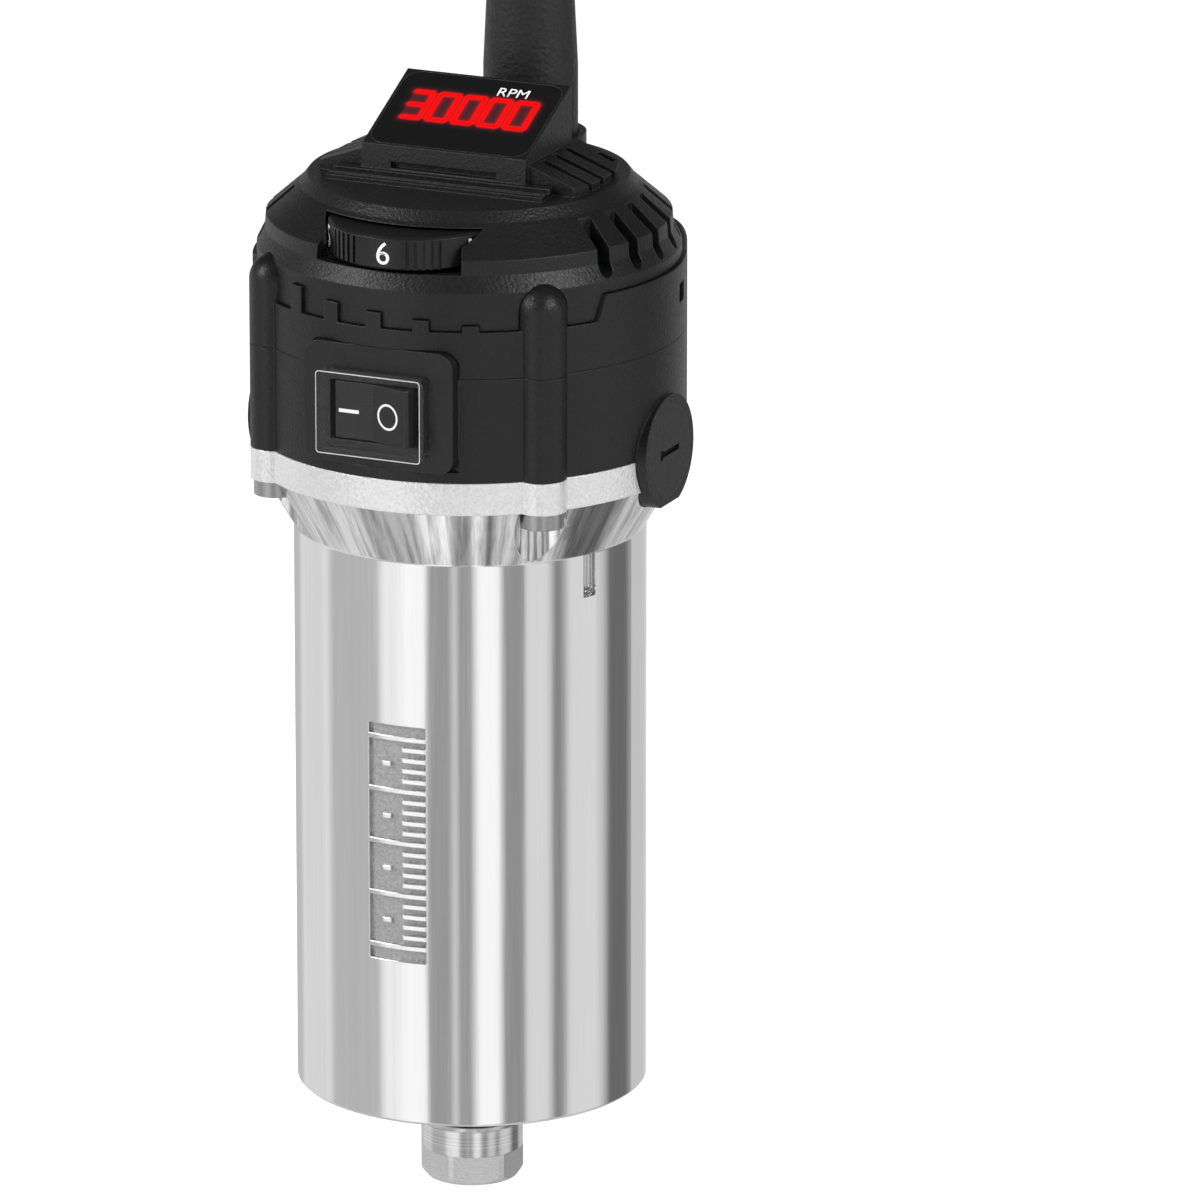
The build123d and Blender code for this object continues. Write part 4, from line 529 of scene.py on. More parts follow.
@dataclass(frozen=True)
class SatinMoulding(Finish):
    """Black moulded plastic with a fine grain, its edges painted slightly paler as a highlight."""

    grain_scale: float = 1700.0
    grain_depth: float = 0.08 * MM
    edge_colour: tuple[float, float, float] = (0.03, 0.03, 0.031)

    def make(self, shared: SharedEffects) -> bpy.types.Material:
        """Builds the material."""
        material, nodes, shader = self.start()
        edge = nodes.group(shared.soft_edge, Radius=self.edge_radius)
        grain = nodes.group(shared.grain, Scale=self.grain_scale).outputs["Height"]
        # Edges get a paler base colour: a painted highlight along each edge.
        nodes.feed(shader.inputs["Base Color"],
                   nodes.blend(edge.outputs["Edge"], self.full(), (*self.edge_colour, 1.0)))
        nodes.feed(shader.inputs["Roughness"], self.gloss(nodes, grain, 0.3, 1.2, 0.8, 1.2))
        nodes.feed(shader.inputs["Normal"],
                   self.bump(nodes, grain, 0.6, self.grain_depth, edge.outputs["Normal"]))
        return material


@dataclass(frozen=True)
class TurnedAluminium(Finish):
    """Bright brushed aluminium with a rough cast band and a rough engraved scale."""

    cast_low: float = 118.6 * MM
    cast_reach: float = 33.0 * MM
    cone_reach: float = 32.7 * MM
    engraved_reach: float = 32.2 * MM
    engraved_floor: float = 31.6 * MM
    engraved_low: float = 5.0 * MM
    cast_roughness: float = 0.36
    cast_metallic: float = 0.7
    engraved_roughness: float = 0.6

    def make(self, shared: SharedEffects) -> bpy.types.Material:
        """Builds the material."""
        material, nodes, shader = self.start()
        _, _, z = nodes.split(nodes.place())
        reach = nodes.radius()
        cast = nodes.both(nodes.math("GREATER_THAN", z, self.cast_low),
                          nodes.math("GREATER_THAN", reach, self.cast_reach))
        sunk = nodes.both(nodes.math("LESS_THAN", reach, self.engraved_reach),
                          nodes.math("GREATER_THAN", reach, self.engraved_floor))
        sunk = nodes.both(sunk, nodes.math("GREATER_THAN", z, self.engraved_low))
        cone = nodes.both(nodes.math("LESS_THAN", z, self.cast_low),
                          nodes.math("GREATER_THAN", reach, self.cone_reach))
        streak = nodes.group(shared.streaks, Scale=1400.0, Stretch=55.0).outputs["Value"]
        wide = nodes.group(shared.streaks, Scale=260.0, Stretch=25.0).outputs["Value"]
        grain = nodes.group(shared.grain, Scale=1700.0).outputs["Height"]
        edge = nodes.group(shared.soft_edge, Radius=self.edge_radius)
        tone = nodes.math("ADD", nodes.both(streak, 0.6), nodes.both(wide, 0.4))
        colour = nodes.blend(nodes.between(tone, 0.35, 0.65, 0.0, 1.0), grey(0.91), self.full())
        speckle = nodes.between(grain, 0.4, 1.1, 0.0, 1.0)
        coarse = nodes.group(shared.streaks, Scale=650.0, Stretch=12.0).outputs["Value"]
        brushed = nodes.blend(nodes.between(coarse, 0.38, 0.6, 0.0, 1.0), grey(0.5), self.full())
        colour = nodes.blend(cone, colour, brushed)
        colour = nodes.blend(cast, colour, nodes.blend(speckle, grey(0.84), grey(1.0)))
        colour = nodes.blend(sunk, colour, nodes.blend(speckle, grey(0.52), grey(0.68)))
        nodes.feed(shader.inputs["Base Color"], colour)
        nodes.feed(shader.inputs["Metallic"], nodes.level(cast, 1.0, self.cast_metallic))
        smooth = self.gloss(nodes, streak, 0.35, 0.65, 0.75, 1.3)
        rough = nodes.level(cast, smooth, self.cast_roughness)
        nodes.feed(shader.inputs["Roughness"], nodes.level(sunk, rough, self.engraved_roughness))
        sandy = nodes.both(nodes.math("MAXIMUM", cast, sunk), nodes.both(grain, 14.0))
        height = nodes.math("ADD", nodes.both(streak, 0.25), sandy)
        nodes.feed(shader.inputs["Normal"],
                   self.bump(nodes, height, 0.5, 0.02 * MM, edge.outputs["Normal"]))
        return material


@dataclass(frozen=True)
class TurnedSteel(Finish):
    """Ground or plated steel with fine turning marks, left coarse below a height."""

    coarse_below: float = -1.0
    coarse_roughness: float = 0.42

    def make(self, shared: SharedEffects) -> bpy.types.Material:
        """Builds the material."""
        material, nodes, shader = self.start()
        _, _, z = nodes.split(nodes.place())
        coarse = nodes.math("LESS_THAN", z, self.coarse_below)
        rings = nodes.group(shared.rings, Scale=5000.0).outputs["Value"]
        grain = nodes.group(shared.grain, Scale=1500.0).outputs["Height"]
        edge = nodes.group(shared.soft_edge, Radius=self.edge_radius)
        marks = nodes.between(rings, 0.35, 0.65, 0.0, 1.0)
        nodes.feed(shader.inputs["Base Color"], nodes.blend(marks, self.full(0.8), self.full()))
        turned = self.gloss(nodes, rings, 0.3, 0.7, 0.8, 1.25)
        nodes.feed(shader.inputs["Roughness"], nodes.level(coarse, turned, self.coarse_roughness))
        height = nodes.level(coarse, rings, nodes.both(grain, 12.0))
        nodes.feed(shader.inputs["Normal"],
                   self.bump(nodes, height, 0.3, 0.01 * MM, edge.outputs["Normal"]))
        return material


@dataclass(frozen=True)
class GlossyWindow(Finish):
    """Glossy dark window with a rim painted paler as a highlight, and the faint wipe marks of a
    handled lens.
    """

    rim_colour: tuple[float, float, float] = (0.045, 0.045, 0.046)

    def make(self, shared: SharedEffects) -> bpy.types.Material:
        """Builds the material."""
        material, nodes, shader = self.start()
        shader.inputs["Coat Weight"].default_value = 0.4
        shader.inputs["Coat Roughness"].default_value = 0.05
        edge = nodes.group(shared.soft_edge, Radius=self.edge_radius)
        # The rim gets a paler base colour: a painted highlight round the window.
        nodes.feed(shader.inputs["Base Color"],
                   nodes.blend(edge.outputs["Edge"], self.full(), (*self.rim_colour, 1.0)))
        wiped = nodes.group(shared.grain, Scale=260.0).outputs["Height"]
        nodes.feed(shader.inputs["Roughness"], self.gloss(nodes, wiped, 0.3, 1.2, 0.7, 1.4))
        nodes.feed(shader.inputs["Normal"], edge.outputs["Normal"])
        return material


@dataclass(frozen=True)
class ClearFilm(Finish):
    """Clear thin moulding of the switch cover."""

    veil_front: float = 0.008
    veil_side: float = 0.07

    def make(self, shared: SharedEffects) -> bpy.types.Material:
        """Builds the material: mostly see-through, with a painted grey sheen that grows towards its
        rims.
        """
        material, nodes, shader = self.start()
        shader.inputs["IOR"].default_value = 1.45
        weight = nodes.add("LayerWeight")
        weight.inputs["Blend"].default_value = 0.35
        aside = weight.outputs["Facing"]
        # Opacity of the grey base grows at glancing angles: a painted sheen in place of the cover's
        # reflection.
        nodes.feed(shader.inputs["Alpha"],
                   nodes.between(aside, 0.4, 1.0, self.veil_front, self.veil_side))
        smear = nodes.group(shared.grain, Scale=300.0).outputs["Height"]
        nodes.feed(shader.inputs["Roughness"], self.gloss(nodes, smear, 0.3, 1.2, 0.7, 1.4))
        return material


@dataclass(frozen=True)
class Glow(Finish):
    """Red light behind a diffusing film, from the attributes light and film of the piece."""

    strength: float = 1.25
    unlit: tuple[float, float, float] = (0.035, 0.012, 0.016)

    def make(self, shared: SharedEffects) -> bpy.types.Material:
        """Builds the material: light fades by its attribute, and film covers what is behind it."""
        material, nodes, shader = self.start()
        light = nodes.add("Attribute", attribute_name="light").outputs["Fac"]
        film = nodes.add("Attribute", attribute_name="film").outputs["Fac"]
        weave = nodes.group(shared.grain, Scale=2400.0).outputs["Height"]
        uneven = nodes.both(light, nodes.between(weave, 0.2, 1.3, 0.88, 1.0))
        nodes.feed(shader.inputs["Base Color"], nodes.blend(light, (*self.unlit, 1.0), grey(0.0)))
        shader.inputs["Specular IOR Level"].default_value = 0.15
        nodes.feed(shader.inputs["Emission Color"], nodes.blend(uneven, grey(0.0), self.full()))
        shader.inputs["Emission Strength"].default_value = self.strength
        nodes.feed(shader.inputs["Alpha"], film)
        return material


@dataclass(frozen=True)
class WhitePrint(Finish):
    """Pad-printed white ink: slightly uneven in tone and gloss."""

    def make(self, shared: SharedEffects) -> bpy.types.Material:
        """Builds the material."""
        material, nodes, shader = self.start()
        ink = nodes.group(shared.grain, Scale=3200.0).outputs["Height"]
        nodes.feed(shader.inputs["Base Color"],
                   nodes.blend(nodes.between(ink, 0.3, 1.2, 0.0, 1.0), self.full(0.9), self.full()))
        nodes.feed(shader.inputs["Roughness"], self.gloss(nodes, ink, 0.3, 1.2, 0.8, 1.3))
        nodes.feed(shader.inputs["Normal"], self.bump(nodes, ink, 0.3, 0.01 * MM))
        return material


@dataclass(frozen=True)
class SolderMask(Finish):
    """Green circuit board: paler tracks run between the copper areas, under a glossy lacquer."""

    track: tuple[float, float, float] = (0.05, 0.25, 0.09)

    def make(self, shared: SharedEffects) -> bpy.types.Material:
        """Builds the material from the borders between cells of about 3 mm."""
        material, nodes, shader = self.start()
        cells = nodes.add("TexVoronoi", feature="DISTANCE_TO_EDGE", distance="EUCLIDEAN")
        nodes.feed(cells.inputs["Vector"], nodes.place())
        cells.inputs["Scale"].default_value = 330.0
        line = nodes.between(cells.outputs["Distance"], 0.05, 0.12, 1.0, 0.0)
        nodes.feed(shader.inputs["Base Color"], nodes.blend(line, self.full(), (*self.track, 1.0)))
        edge = nodes.group(shared.soft_edge, Radius=self.edge_radius)
        nodes.feed(shader.inputs["Normal"],
                   self.bump(nodes, line, 0.4, 0.03 * MM, edge.outputs["Normal"]))
        return material


@dataclass(frozen=True)
class Laminations(Finish):
    """Stacked iron sheets: dark lines across the height."""

    sheet: float = 0.5 * MM

    def make(self, shared: SharedEffects) -> bpy.types.Material:
        """Builds the material from a saw of the height over one sheet."""
        material, nodes, shader = self.start()
        _, _, z = nodes.split(nodes.place())
        saw = nodes.math("FRACT", nodes.math("DIVIDE", z, self.sheet))
        line = nodes.between(saw, 0.0, 0.25, 0.4, 1.0)
        nodes.feed(shader.inputs["Base Color"], nodes.blend(line, self.full(0.4), self.full()))
        nodes.feed(shader.inputs["Normal"], self.bump(nodes, line, 0.5, 0.05 * MM))
        return material


@dataclass(frozen=True)
class WoundWire(Finish):
    """Layers of enamelled wire: a round wave over the height and the distance from the axis, darker
    in its low parts as painted shade between the turns.
    """

    wire: float = 0.55 * MM

    def make(self, shared: SharedEffects) -> bpy.types.Material:
        """Builds the material."""
        material, nodes, shader = self.start()
        _, _, z = nodes.split(nodes.place())
        turn = nodes.both(nodes.math("ADD", z, nodes.radius()), math.tau / self.wire)
        wave = nodes.between(nodes.math("SINE", turn), -1.0, 1.0, 0.0, 1.0)
        # Low parts of the wave are darker: painted shade between the turns.
        nodes.feed(shader.inputs["Base Color"], nodes.blend(wave, self.full(0.35), self.full()))
        nodes.feed(shader.inputs["Normal"], self.bump(nodes, wave, 0.8, 0.1 * MM))
        return material


@dataclass
class FinishShelf:
    """All finishes by the record's slot names, each built once."""

    shared: SharedEffects
    made: dict[str, bpy.types.Material] = field(default_factory=dict)

    def recipes(self) -> dict[str, Finish]:
        """Returns the finish of each slot."""
        finishes = (
            TurnedAluminium("turned_aluminium", (0.98, 0.98, 0.985), 0.11, 1.0),
            TurnedSteel("zinc_steel", (0.62, 0.62, 0.60), 0.35, 1.0),
            TurnedSteel("black_screw", (0.55, 0.55, 0.55), 0.35, 1.0),
            TurnedSteel("bearing_steel", (0.70, 0.70, 0.71), 0.18, 1.0),
            TurnedSteel("ground_steel", (0.58, 0.58, 0.59), 0.28, 1.0),
            TurnedSteel("nickel_nut", (0.90, 0.90, 0.90), 0.2, 1.0, coarse_below=NUT_FLATS_TOP),
            TurnedSteel("spring_steel", (0.45, 0.45, 0.46), 0.3, 1.0, 0.1 * MM),
            Laminations("laminations", (0.25, 0.25, 0.26), 0.5, 0.6),
            WoundWire("copper_wire", (0.55, 0.22, 0.09), 0.35, 0.7),
            TurnedSteel("copper_bar", (0.78, 0.40, 0.24), 0.25, 1.0),
            TurnedSteel("brass", (0.80, 0.60, 0.28), 0.3, 1.0),
            SatinMoulding("phenolic", (0.12, 0.05, 0.03), 0.5),
            SatinMoulding("ferrite", (0.06, 0.06, 0.065), 0.6),
            SatinMoulding("carbon", (0.035, 0.035, 0.038), 0.55),
            SatinMoulding("black_nylon", (0.02, 0.02, 0.02), 0.5),
            SatinMoulding("black_shell", (0.006, 0.006, 0.0065), 0.42, grain_depth=0.12 * MM),
            SatinMoulding("black_cap", (0.007, 0.007, 0.0075), 0.4, grain_depth=0.02 * MM),
            SatinMoulding("black_gloss", (0.006, 0.006, 0.007), 0.36, grain_depth=0.0),
            SatinMoulding("black_dial", (0.006, 0.006, 0.0065), 0.36, edge_radius=0.15 * MM,
                                       grain_depth=0.01 * MM),
            ClearFilm("clear_cover", (0.5, 0.5, 0.5), 0.08),
            # Near-white, half-opaque bead: a painted highlight on the cover's front edge.
            ClearFilm("clear_edge_highlight", (0.95, 0.95, 0.95), 0.15, veil_front=0.55, veil_side=0.9),
            GlossyWindow("smoked_lens", (0.004, 0.004, 0.004), 0.12),
            SolderMask("circuit_board", (0.02, 0.12, 0.05), 0.35),
            SatinMoulding("black_rubber", (0.012, 0.012, 0.012), 0.5, grain_scale=1100.0,
                                          grain_depth=0.22 * MM),
            SatinMoulding("cord_sheath", (0.014, 0.014, 0.014), 0.45, grain_scale=1200.0),
            WhitePrint("white_print", (0.9, 0.9, 0.9), 0.4),
            Glow("red_digits", (1.0, 0.003, 0.003), 0.3),
        )
        return {finish.name: finish for finish in finishes}

    def get(self, slot: str) -> bpy.types.Material:
        """Returns the material of a slot, building it at its first use."""
        if slot not in self.made:
            self.made[slot] = self.recipes()[slot].make(self.shared)
        return self.made[slot]

    def dress(self, piece: bpy.types.Object, slot: str) -> bpy.types.Object:
        """Gives a piece one finish and returns it."""
        piece.data.materials.clear()
        piece.data.materials.append(self.get(slot))
        return piece


# Sub-assemblies


@dataclass
class PackedSolids:
    """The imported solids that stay, each with the finish of its slot."""

    finishes: FinishShelf

    def dress(self, frame: dict) -> None:
        """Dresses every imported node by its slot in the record."""
        for entry in frame["record"]["subparts"]:
            node = frame["nodes"][entry["node"]]
            self.finishes.dress(node, entry["material_slot"])
            LOG.info("dressed %s as %s", entry["node"], entry["material_slot"])


@dataclass
class RockerMarks:
    """The dash and the round printed on the two wings of the rocker."""

    finishes: FinishShelf
    wing_y: float = -40.675 * MM
    apex_x: float = -0.34 * MM
    right_slope: float = 17.0
    dash_x: float = -5.2 * MM
    dash_size: tuple[float, float] = (4.0 * MM, 0.66 * MM)
    round_x: float = 3.0 * MM
    round_radius: float = 2.45 * MM
    stroke: float = 0.42 * MM
    mark_z: float = 137.1 * MM
    lift: float = 0.03 * MM

    def left_wing(self) -> Facing:
        """Returns the place of the dash."""
        return Facing((self.dash_x, self.wing_y, self.mark_z), (1, 0, 0), (0, 0, 1))

    def right_wing(self) -> Facing:
        """Returns the place of the round, on the sloped wing."""
        slope = math.radians(self.right_slope)
        along = self.round_x - self.apex_x
        y = self.wing_y - along * math.tan(slope)
        across = (math.cos(slope), -math.sin(slope), 0)
        return Facing((self.round_x, y, self.mark_z), across, (0, 0, 1))

    def build(self) -> None:
        """Makes both marks."""
        half_w, half_h = self.dash_size[0] / 2, self.dash_size[1] / 2
        dash = slab("rocker_dash", rectangle(half_w, half_h), self.lift, self.left_wing())
        turn = np.linspace(0, math.tau, 64, endpoint=False)
        circle = np.stack([np.cos(turn), np.sin(turn)], axis=1)
        ring = ring_band("rocker_round", circle * self.round_radius,
                         circle * (self.round_radius - self.stroke), self.lift, self.right_wing())
        for piece in (dash, ring):
            self.finishes.dress(piece, "white_print")
            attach(piece, Body.ROCKER.value)
            LOG.info("printed %s", piece.name)


@dataclass
class CoverEdge:
    """Pale bead along the front edge of the switch's clear cover: a painted highlight where it
    catches the light.
    """

    finishes: FinishShelf
    bead: float = 0.16 * MM
    corner: float = 0.7 * MM
    proud: float = 0.02 * MM
    arc_points: int = 8

    def outline(self, half: np.ndarray, corner: float) -> np.ndarray:
        """Rounded rectangle: each corner's arc is its middle plus the radius in each direction."""
        turn = np.linspace(0, math.tau / 4, self.arc_points)
        quarters = np.arange(4)[:, None] * math.tau / 4 + turn
        signs = np.array([(1, 1), (-1, 1), (-1, -1), (1, -1)])
        middles = signs * (half - corner)
        arcs = middles[:, None, :] + corner * np.stack([np.cos(quarters), np.sin(quarters)], axis=2)
        return arcs.reshape(-1, 2)

    def build(self) -> None:
        """Makes the bead on the cover's front face."""
        low, high = (np.array(corner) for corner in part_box("switch_cover"))
        middle, half = (low + high) / 2, (high - low) / 2
        front = Facing((middle[0], low[1] + self.proud, middle[2]), (1, 0, 0), (0, 0, 1))
        flat = half[[0, 2]]
        bead = ring_band("cover_edge_highlight", self.outline(flat, self.corner),
                         self.outline(flat - self.bead, self.corner - self.bead), self.proud, front)
        # Its near-white finish is a painted highlight.
        self.finishes.dress(bead, "clear_edge_highlight")
        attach(bead, Body.HOUSING.value)
        LOG.info("edged %s", bead.name)


@dataclass
class BrushSprings:
    """The two coil springs behind the brushes; the real ones shorten as a brush is pushed back, but
    these stay fixed to the housing.
    """

    finishes: FinishShelf
    wire: float = 0.6 * MM
    turns: int = 5
    steps: int = 24
    round_points: int = 10
    travel: float = 6.0 * MM

    def coil(self, name: str, low: np.ndarray, high: np.ndarray) -> bpy.types.Object:
        """Makes one spring that fills a box.

        The middle line is a helix round the X axis, and a small circle across it is carried along.

        Args:
            name: Name of the piece.
            low: Lowest corner of the box.
            high: Highest corner of the box.

        Returns:
            The spring.
        """
        middle, reach = (low + high) / 2, (high[2] - low[2] - self.wire) / 2
        turn = np.linspace(0, math.tau * self.turns, self.turns * self.steps + 1)
        outward = np.stack([np.zeros_like(turn), np.cos(turn), np.sin(turn)], axis=1)
        line = np.array([0, middle[1], middle[2]]) + reach * outward
        line[:, 0] = np.linspace(low[0] + self.wire / 2, high[0] - self.wire / 2, len(turn))
        along = np.gradient(line, axis=0)
        along /= np.linalg.norm(along, axis=1)[:, None]
        side = np.cross(along, outward)
        angle = np.linspace(0, math.tau, self.round_points, endpoint=False)
        cos, sin = np.cos(angle)[:, None], np.sin(angle)[:, None]
        around = cos * outward[:, None] + sin * side[:, None]
        points = (line[:, None] + self.wire / 2 * around).reshape(-1, 3)
        number = np.arange(len(points)).reshape(len(turn), self.round_points)
        next_round = np.roll(number, -1, axis=1)
        cells = np.stack([number[:-1], next_round[:-1], next_round[1:], number[1:]], axis=-1)
        ends = [number[0, ::-1].tolist(), number[-1].tolist()]
        return mesh_object(name, points, cells.reshape(-1, 4).tolist() + ends)

    def build(self) -> None:
        """Makes both springs in the boxes of the imported ones, fixed to the housing."""
        for hand, outer in (("left", 0), ("right", 1)):
            node = f"brush_spring_{hand}"
            box = [np.array(corner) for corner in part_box(node)]
            spring = self.coil(f"coil_spring_{hand}", *box)
            self.finishes.dress(spring, "spring_steel")
            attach(spring, Body.HOUSING.value)
            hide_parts(node)
            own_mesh(spring)
            LOG.info("coiled %s", spring.name)


@dataclass
class DialNumbers:
    """White numbers 1 to 6 on the pads of the thumbwheel."""

    finishes: FinishShelf
    centre_y: float = -22.9 * MM
    reach: float = 15.9 * MM
    middle_z: float = 166.75 * MM
    height: float = 4.15 * MM
    pads: int = 6
    front_number: int = 6
    front_turn: float = 3.0
    lift: float = 0.05 * MM

    def on_wheel(self, degrees: float):
        """Returns a function that wraps flat characters round the wheel, at an angle."""
        start = math.radians(degrees)

        def wrap(u: np.ndarray, v: np.ndarray, w: np.ndarray) -> np.ndarray:
            """Angle is start plus u over the radius, height is v, and w is measured outwards."""
            angle = start + u / self.reach
            radius = self.reach + w
            return np.stack([radius * np.sin(angle), self.centre_y - radius * np.cos(angle),
                             self.middle_z + v], axis=1)

        return wrap

    def build(self) -> None:
        """Makes the six numbers."""
        for pad in range(self.pads):
            number = (self.front_number + pad - 1) % self.pads + 1
            piece = lettering(f"dial_number_{number}", str(number), self.height, self.lift)
            move_points(piece, self.on_wheel(self.front_turn + pad * 360 / self.pads))
            self.finishes.dress(piece, "white_print")
            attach(piece, Body.DIAL.value)
            LOG.info("printed %s", piece.name)


@dataclass
class ReadOut:
    """Five red seven-segment digits and their unit behind the sloped window."""

    finishes: FinishShelf
    tilt: float = 25.7
    centre: tuple[float, float, float] = (0.0, -1.05 * MM, 183.8 * MM)
    text: str = "30000"
    unit: str = "RPM"
    unit_height: float = 2.35 * MM
    unit_place: tuple[float, float] = (6.5 * MM, 7.1 * MM)
    digit_h: float = 7.3 * MM
    digit_w: float = 3.75 * MM
    pitch: float = 5.2 * MM
    gap: float = 0.34 * MM
    core: float = 0.3 * MM
    spread: float = 0.34 * MM
    haze: float = 1.1 * MM
    haze_level: float = 0.11
    middle: tuple[float, float] = (0.05 * MM, 1.1 * MM)
    border: float = 2.0 * MM
    step: float = 0.2 * MM
    lift: float = 0.02 * MM
    film_gain: float = 5.0

    def facing(self) -> Facing:
        """Returns the window's face."""
        tilt = math.radians(self.tilt)
        return Facing(self.centre, (1, 0, 0), (0, math.cos(tilt), math.sin(tilt)))

    def starts(self) -> np.ndarray:
        """Returns the middles of the digits along the window."""
        return self.middle[0] + (np.arange(len(self.text)) - (len(self.text) - 1) / 2) * self.pitch

    def bars(self) -> np.ndarray:
        """Middle lines of the lit bars: rows of both ends, each with its u and v."""
        w, h = self.digit_w / 2, self.digit_h / 2
        places = {"top": (-w, h, w, h), "middle": (-w, 0, w, 0), "bottom": (-w, -h, w, -h),
                  "upper_left": (-w, 0, -w, h), "upper_right": (w, 0, w, h),
                  "lower_left": (-w, -h, -w, 0), "lower_right": (w, -h, w, 0)}
        lit = {"0": ("top", "bottom", "upper_left", "upper_right", "lower_left", "lower_right"),
               "3": ("top", "middle", "bottom", "upper_right", "lower_right")}
        return np.array([np.array(places[name]) + np.tile((start, self.middle[1]), 2)
                         for digit, start in zip(self.text, self.starts()) for name in lit[digit]])

    def light(self, spots: np.ndarray) -> np.ndarray:
        """Brightness at spots: 1 within a bar's core, then a narrow and a wide bell curve past it.

        Args:
            spots: Places (u, v) on the window, one per row.

        Returns:
            The brightness, from the distance to the nearest bar, whose ends stop short of others.
        """
        bars = self.bars()
        first, along = bars[:, :2], bars[:, 2:] - bars[:, :2]
        cut = self.gap * along / np.linalg.norm(along, axis=1)[:, None]
        first, along = first + cut, along - 2 * cut
        offset = spots[:, None, :] - first
        share = np.clip((offset * along).sum(axis=2) / (along ** 2).sum(axis=1), 0, 1)
        distance = np.linalg.norm(offset - share[:, :, None] * along, axis=2).min(axis=1)
        past = np.maximum(distance - self.core, 0)
        bright, wide = (np.exp(-(past / reach) ** 2) for reach in (self.spread, self.haze))
        return (1 - self.haze_level) * bright + self.haze_level * wide

    def film(self, spots: np.ndarray) -> np.ndarray:
        """Cover of the digits' dark faces: 1 inside each, fading over a bar's width past it."""
        aside = np.abs(spots[:, :1] - self.starts()).min(axis=1) - self.digit_w / 2
        above = np.abs(spots[:, 1] - self.middle[1]) - self.digit_h / 2
        return np.clip(1 - np.maximum(aside, above) / (2 * self.core), 0, 1)

    def build(self) -> None:
        """Makes the digits and the unit."""
        facing = self.facing()
        side_digits = (len(self.text) - 1) / 2
        reach = (self.border + side_digits * self.pitch + self.digit_w / 2,
                 self.border + self.digit_h / 2)
        u, v = (np.arange(mid - far, mid + far, self.step) for mid, far in zip(self.middle, reach))
        spots = np.stack([part.ravel() for part in np.meshgrid(u, v, indexing="ij")], axis=1)
        light = self.light(spots)
        cover = np.maximum(self.film(spots), np.clip(light * self.film_gain, 0, 1))
        digits = fine_plate("red_digits", u, v, -self.lift, self.lift, facing,
                            light=light, film=cover)
        self.finishes.dress(digits, "red_digits")
        unit = lettering("speed_unit", self.unit, self.unit_height, self.lift)
        corner = facing(*np.array([*self.unit_place, 0.0])[:, None])[0]
        move_points(unit, Facing(tuple(corner), facing.u_axis, facing.v_axis))
        self.finishes.dress(unit, "white_print")
        for piece in (digits, unit):
            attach(piece, Body.HOUSING.value)
            LOG.info("made %s", piece.name)


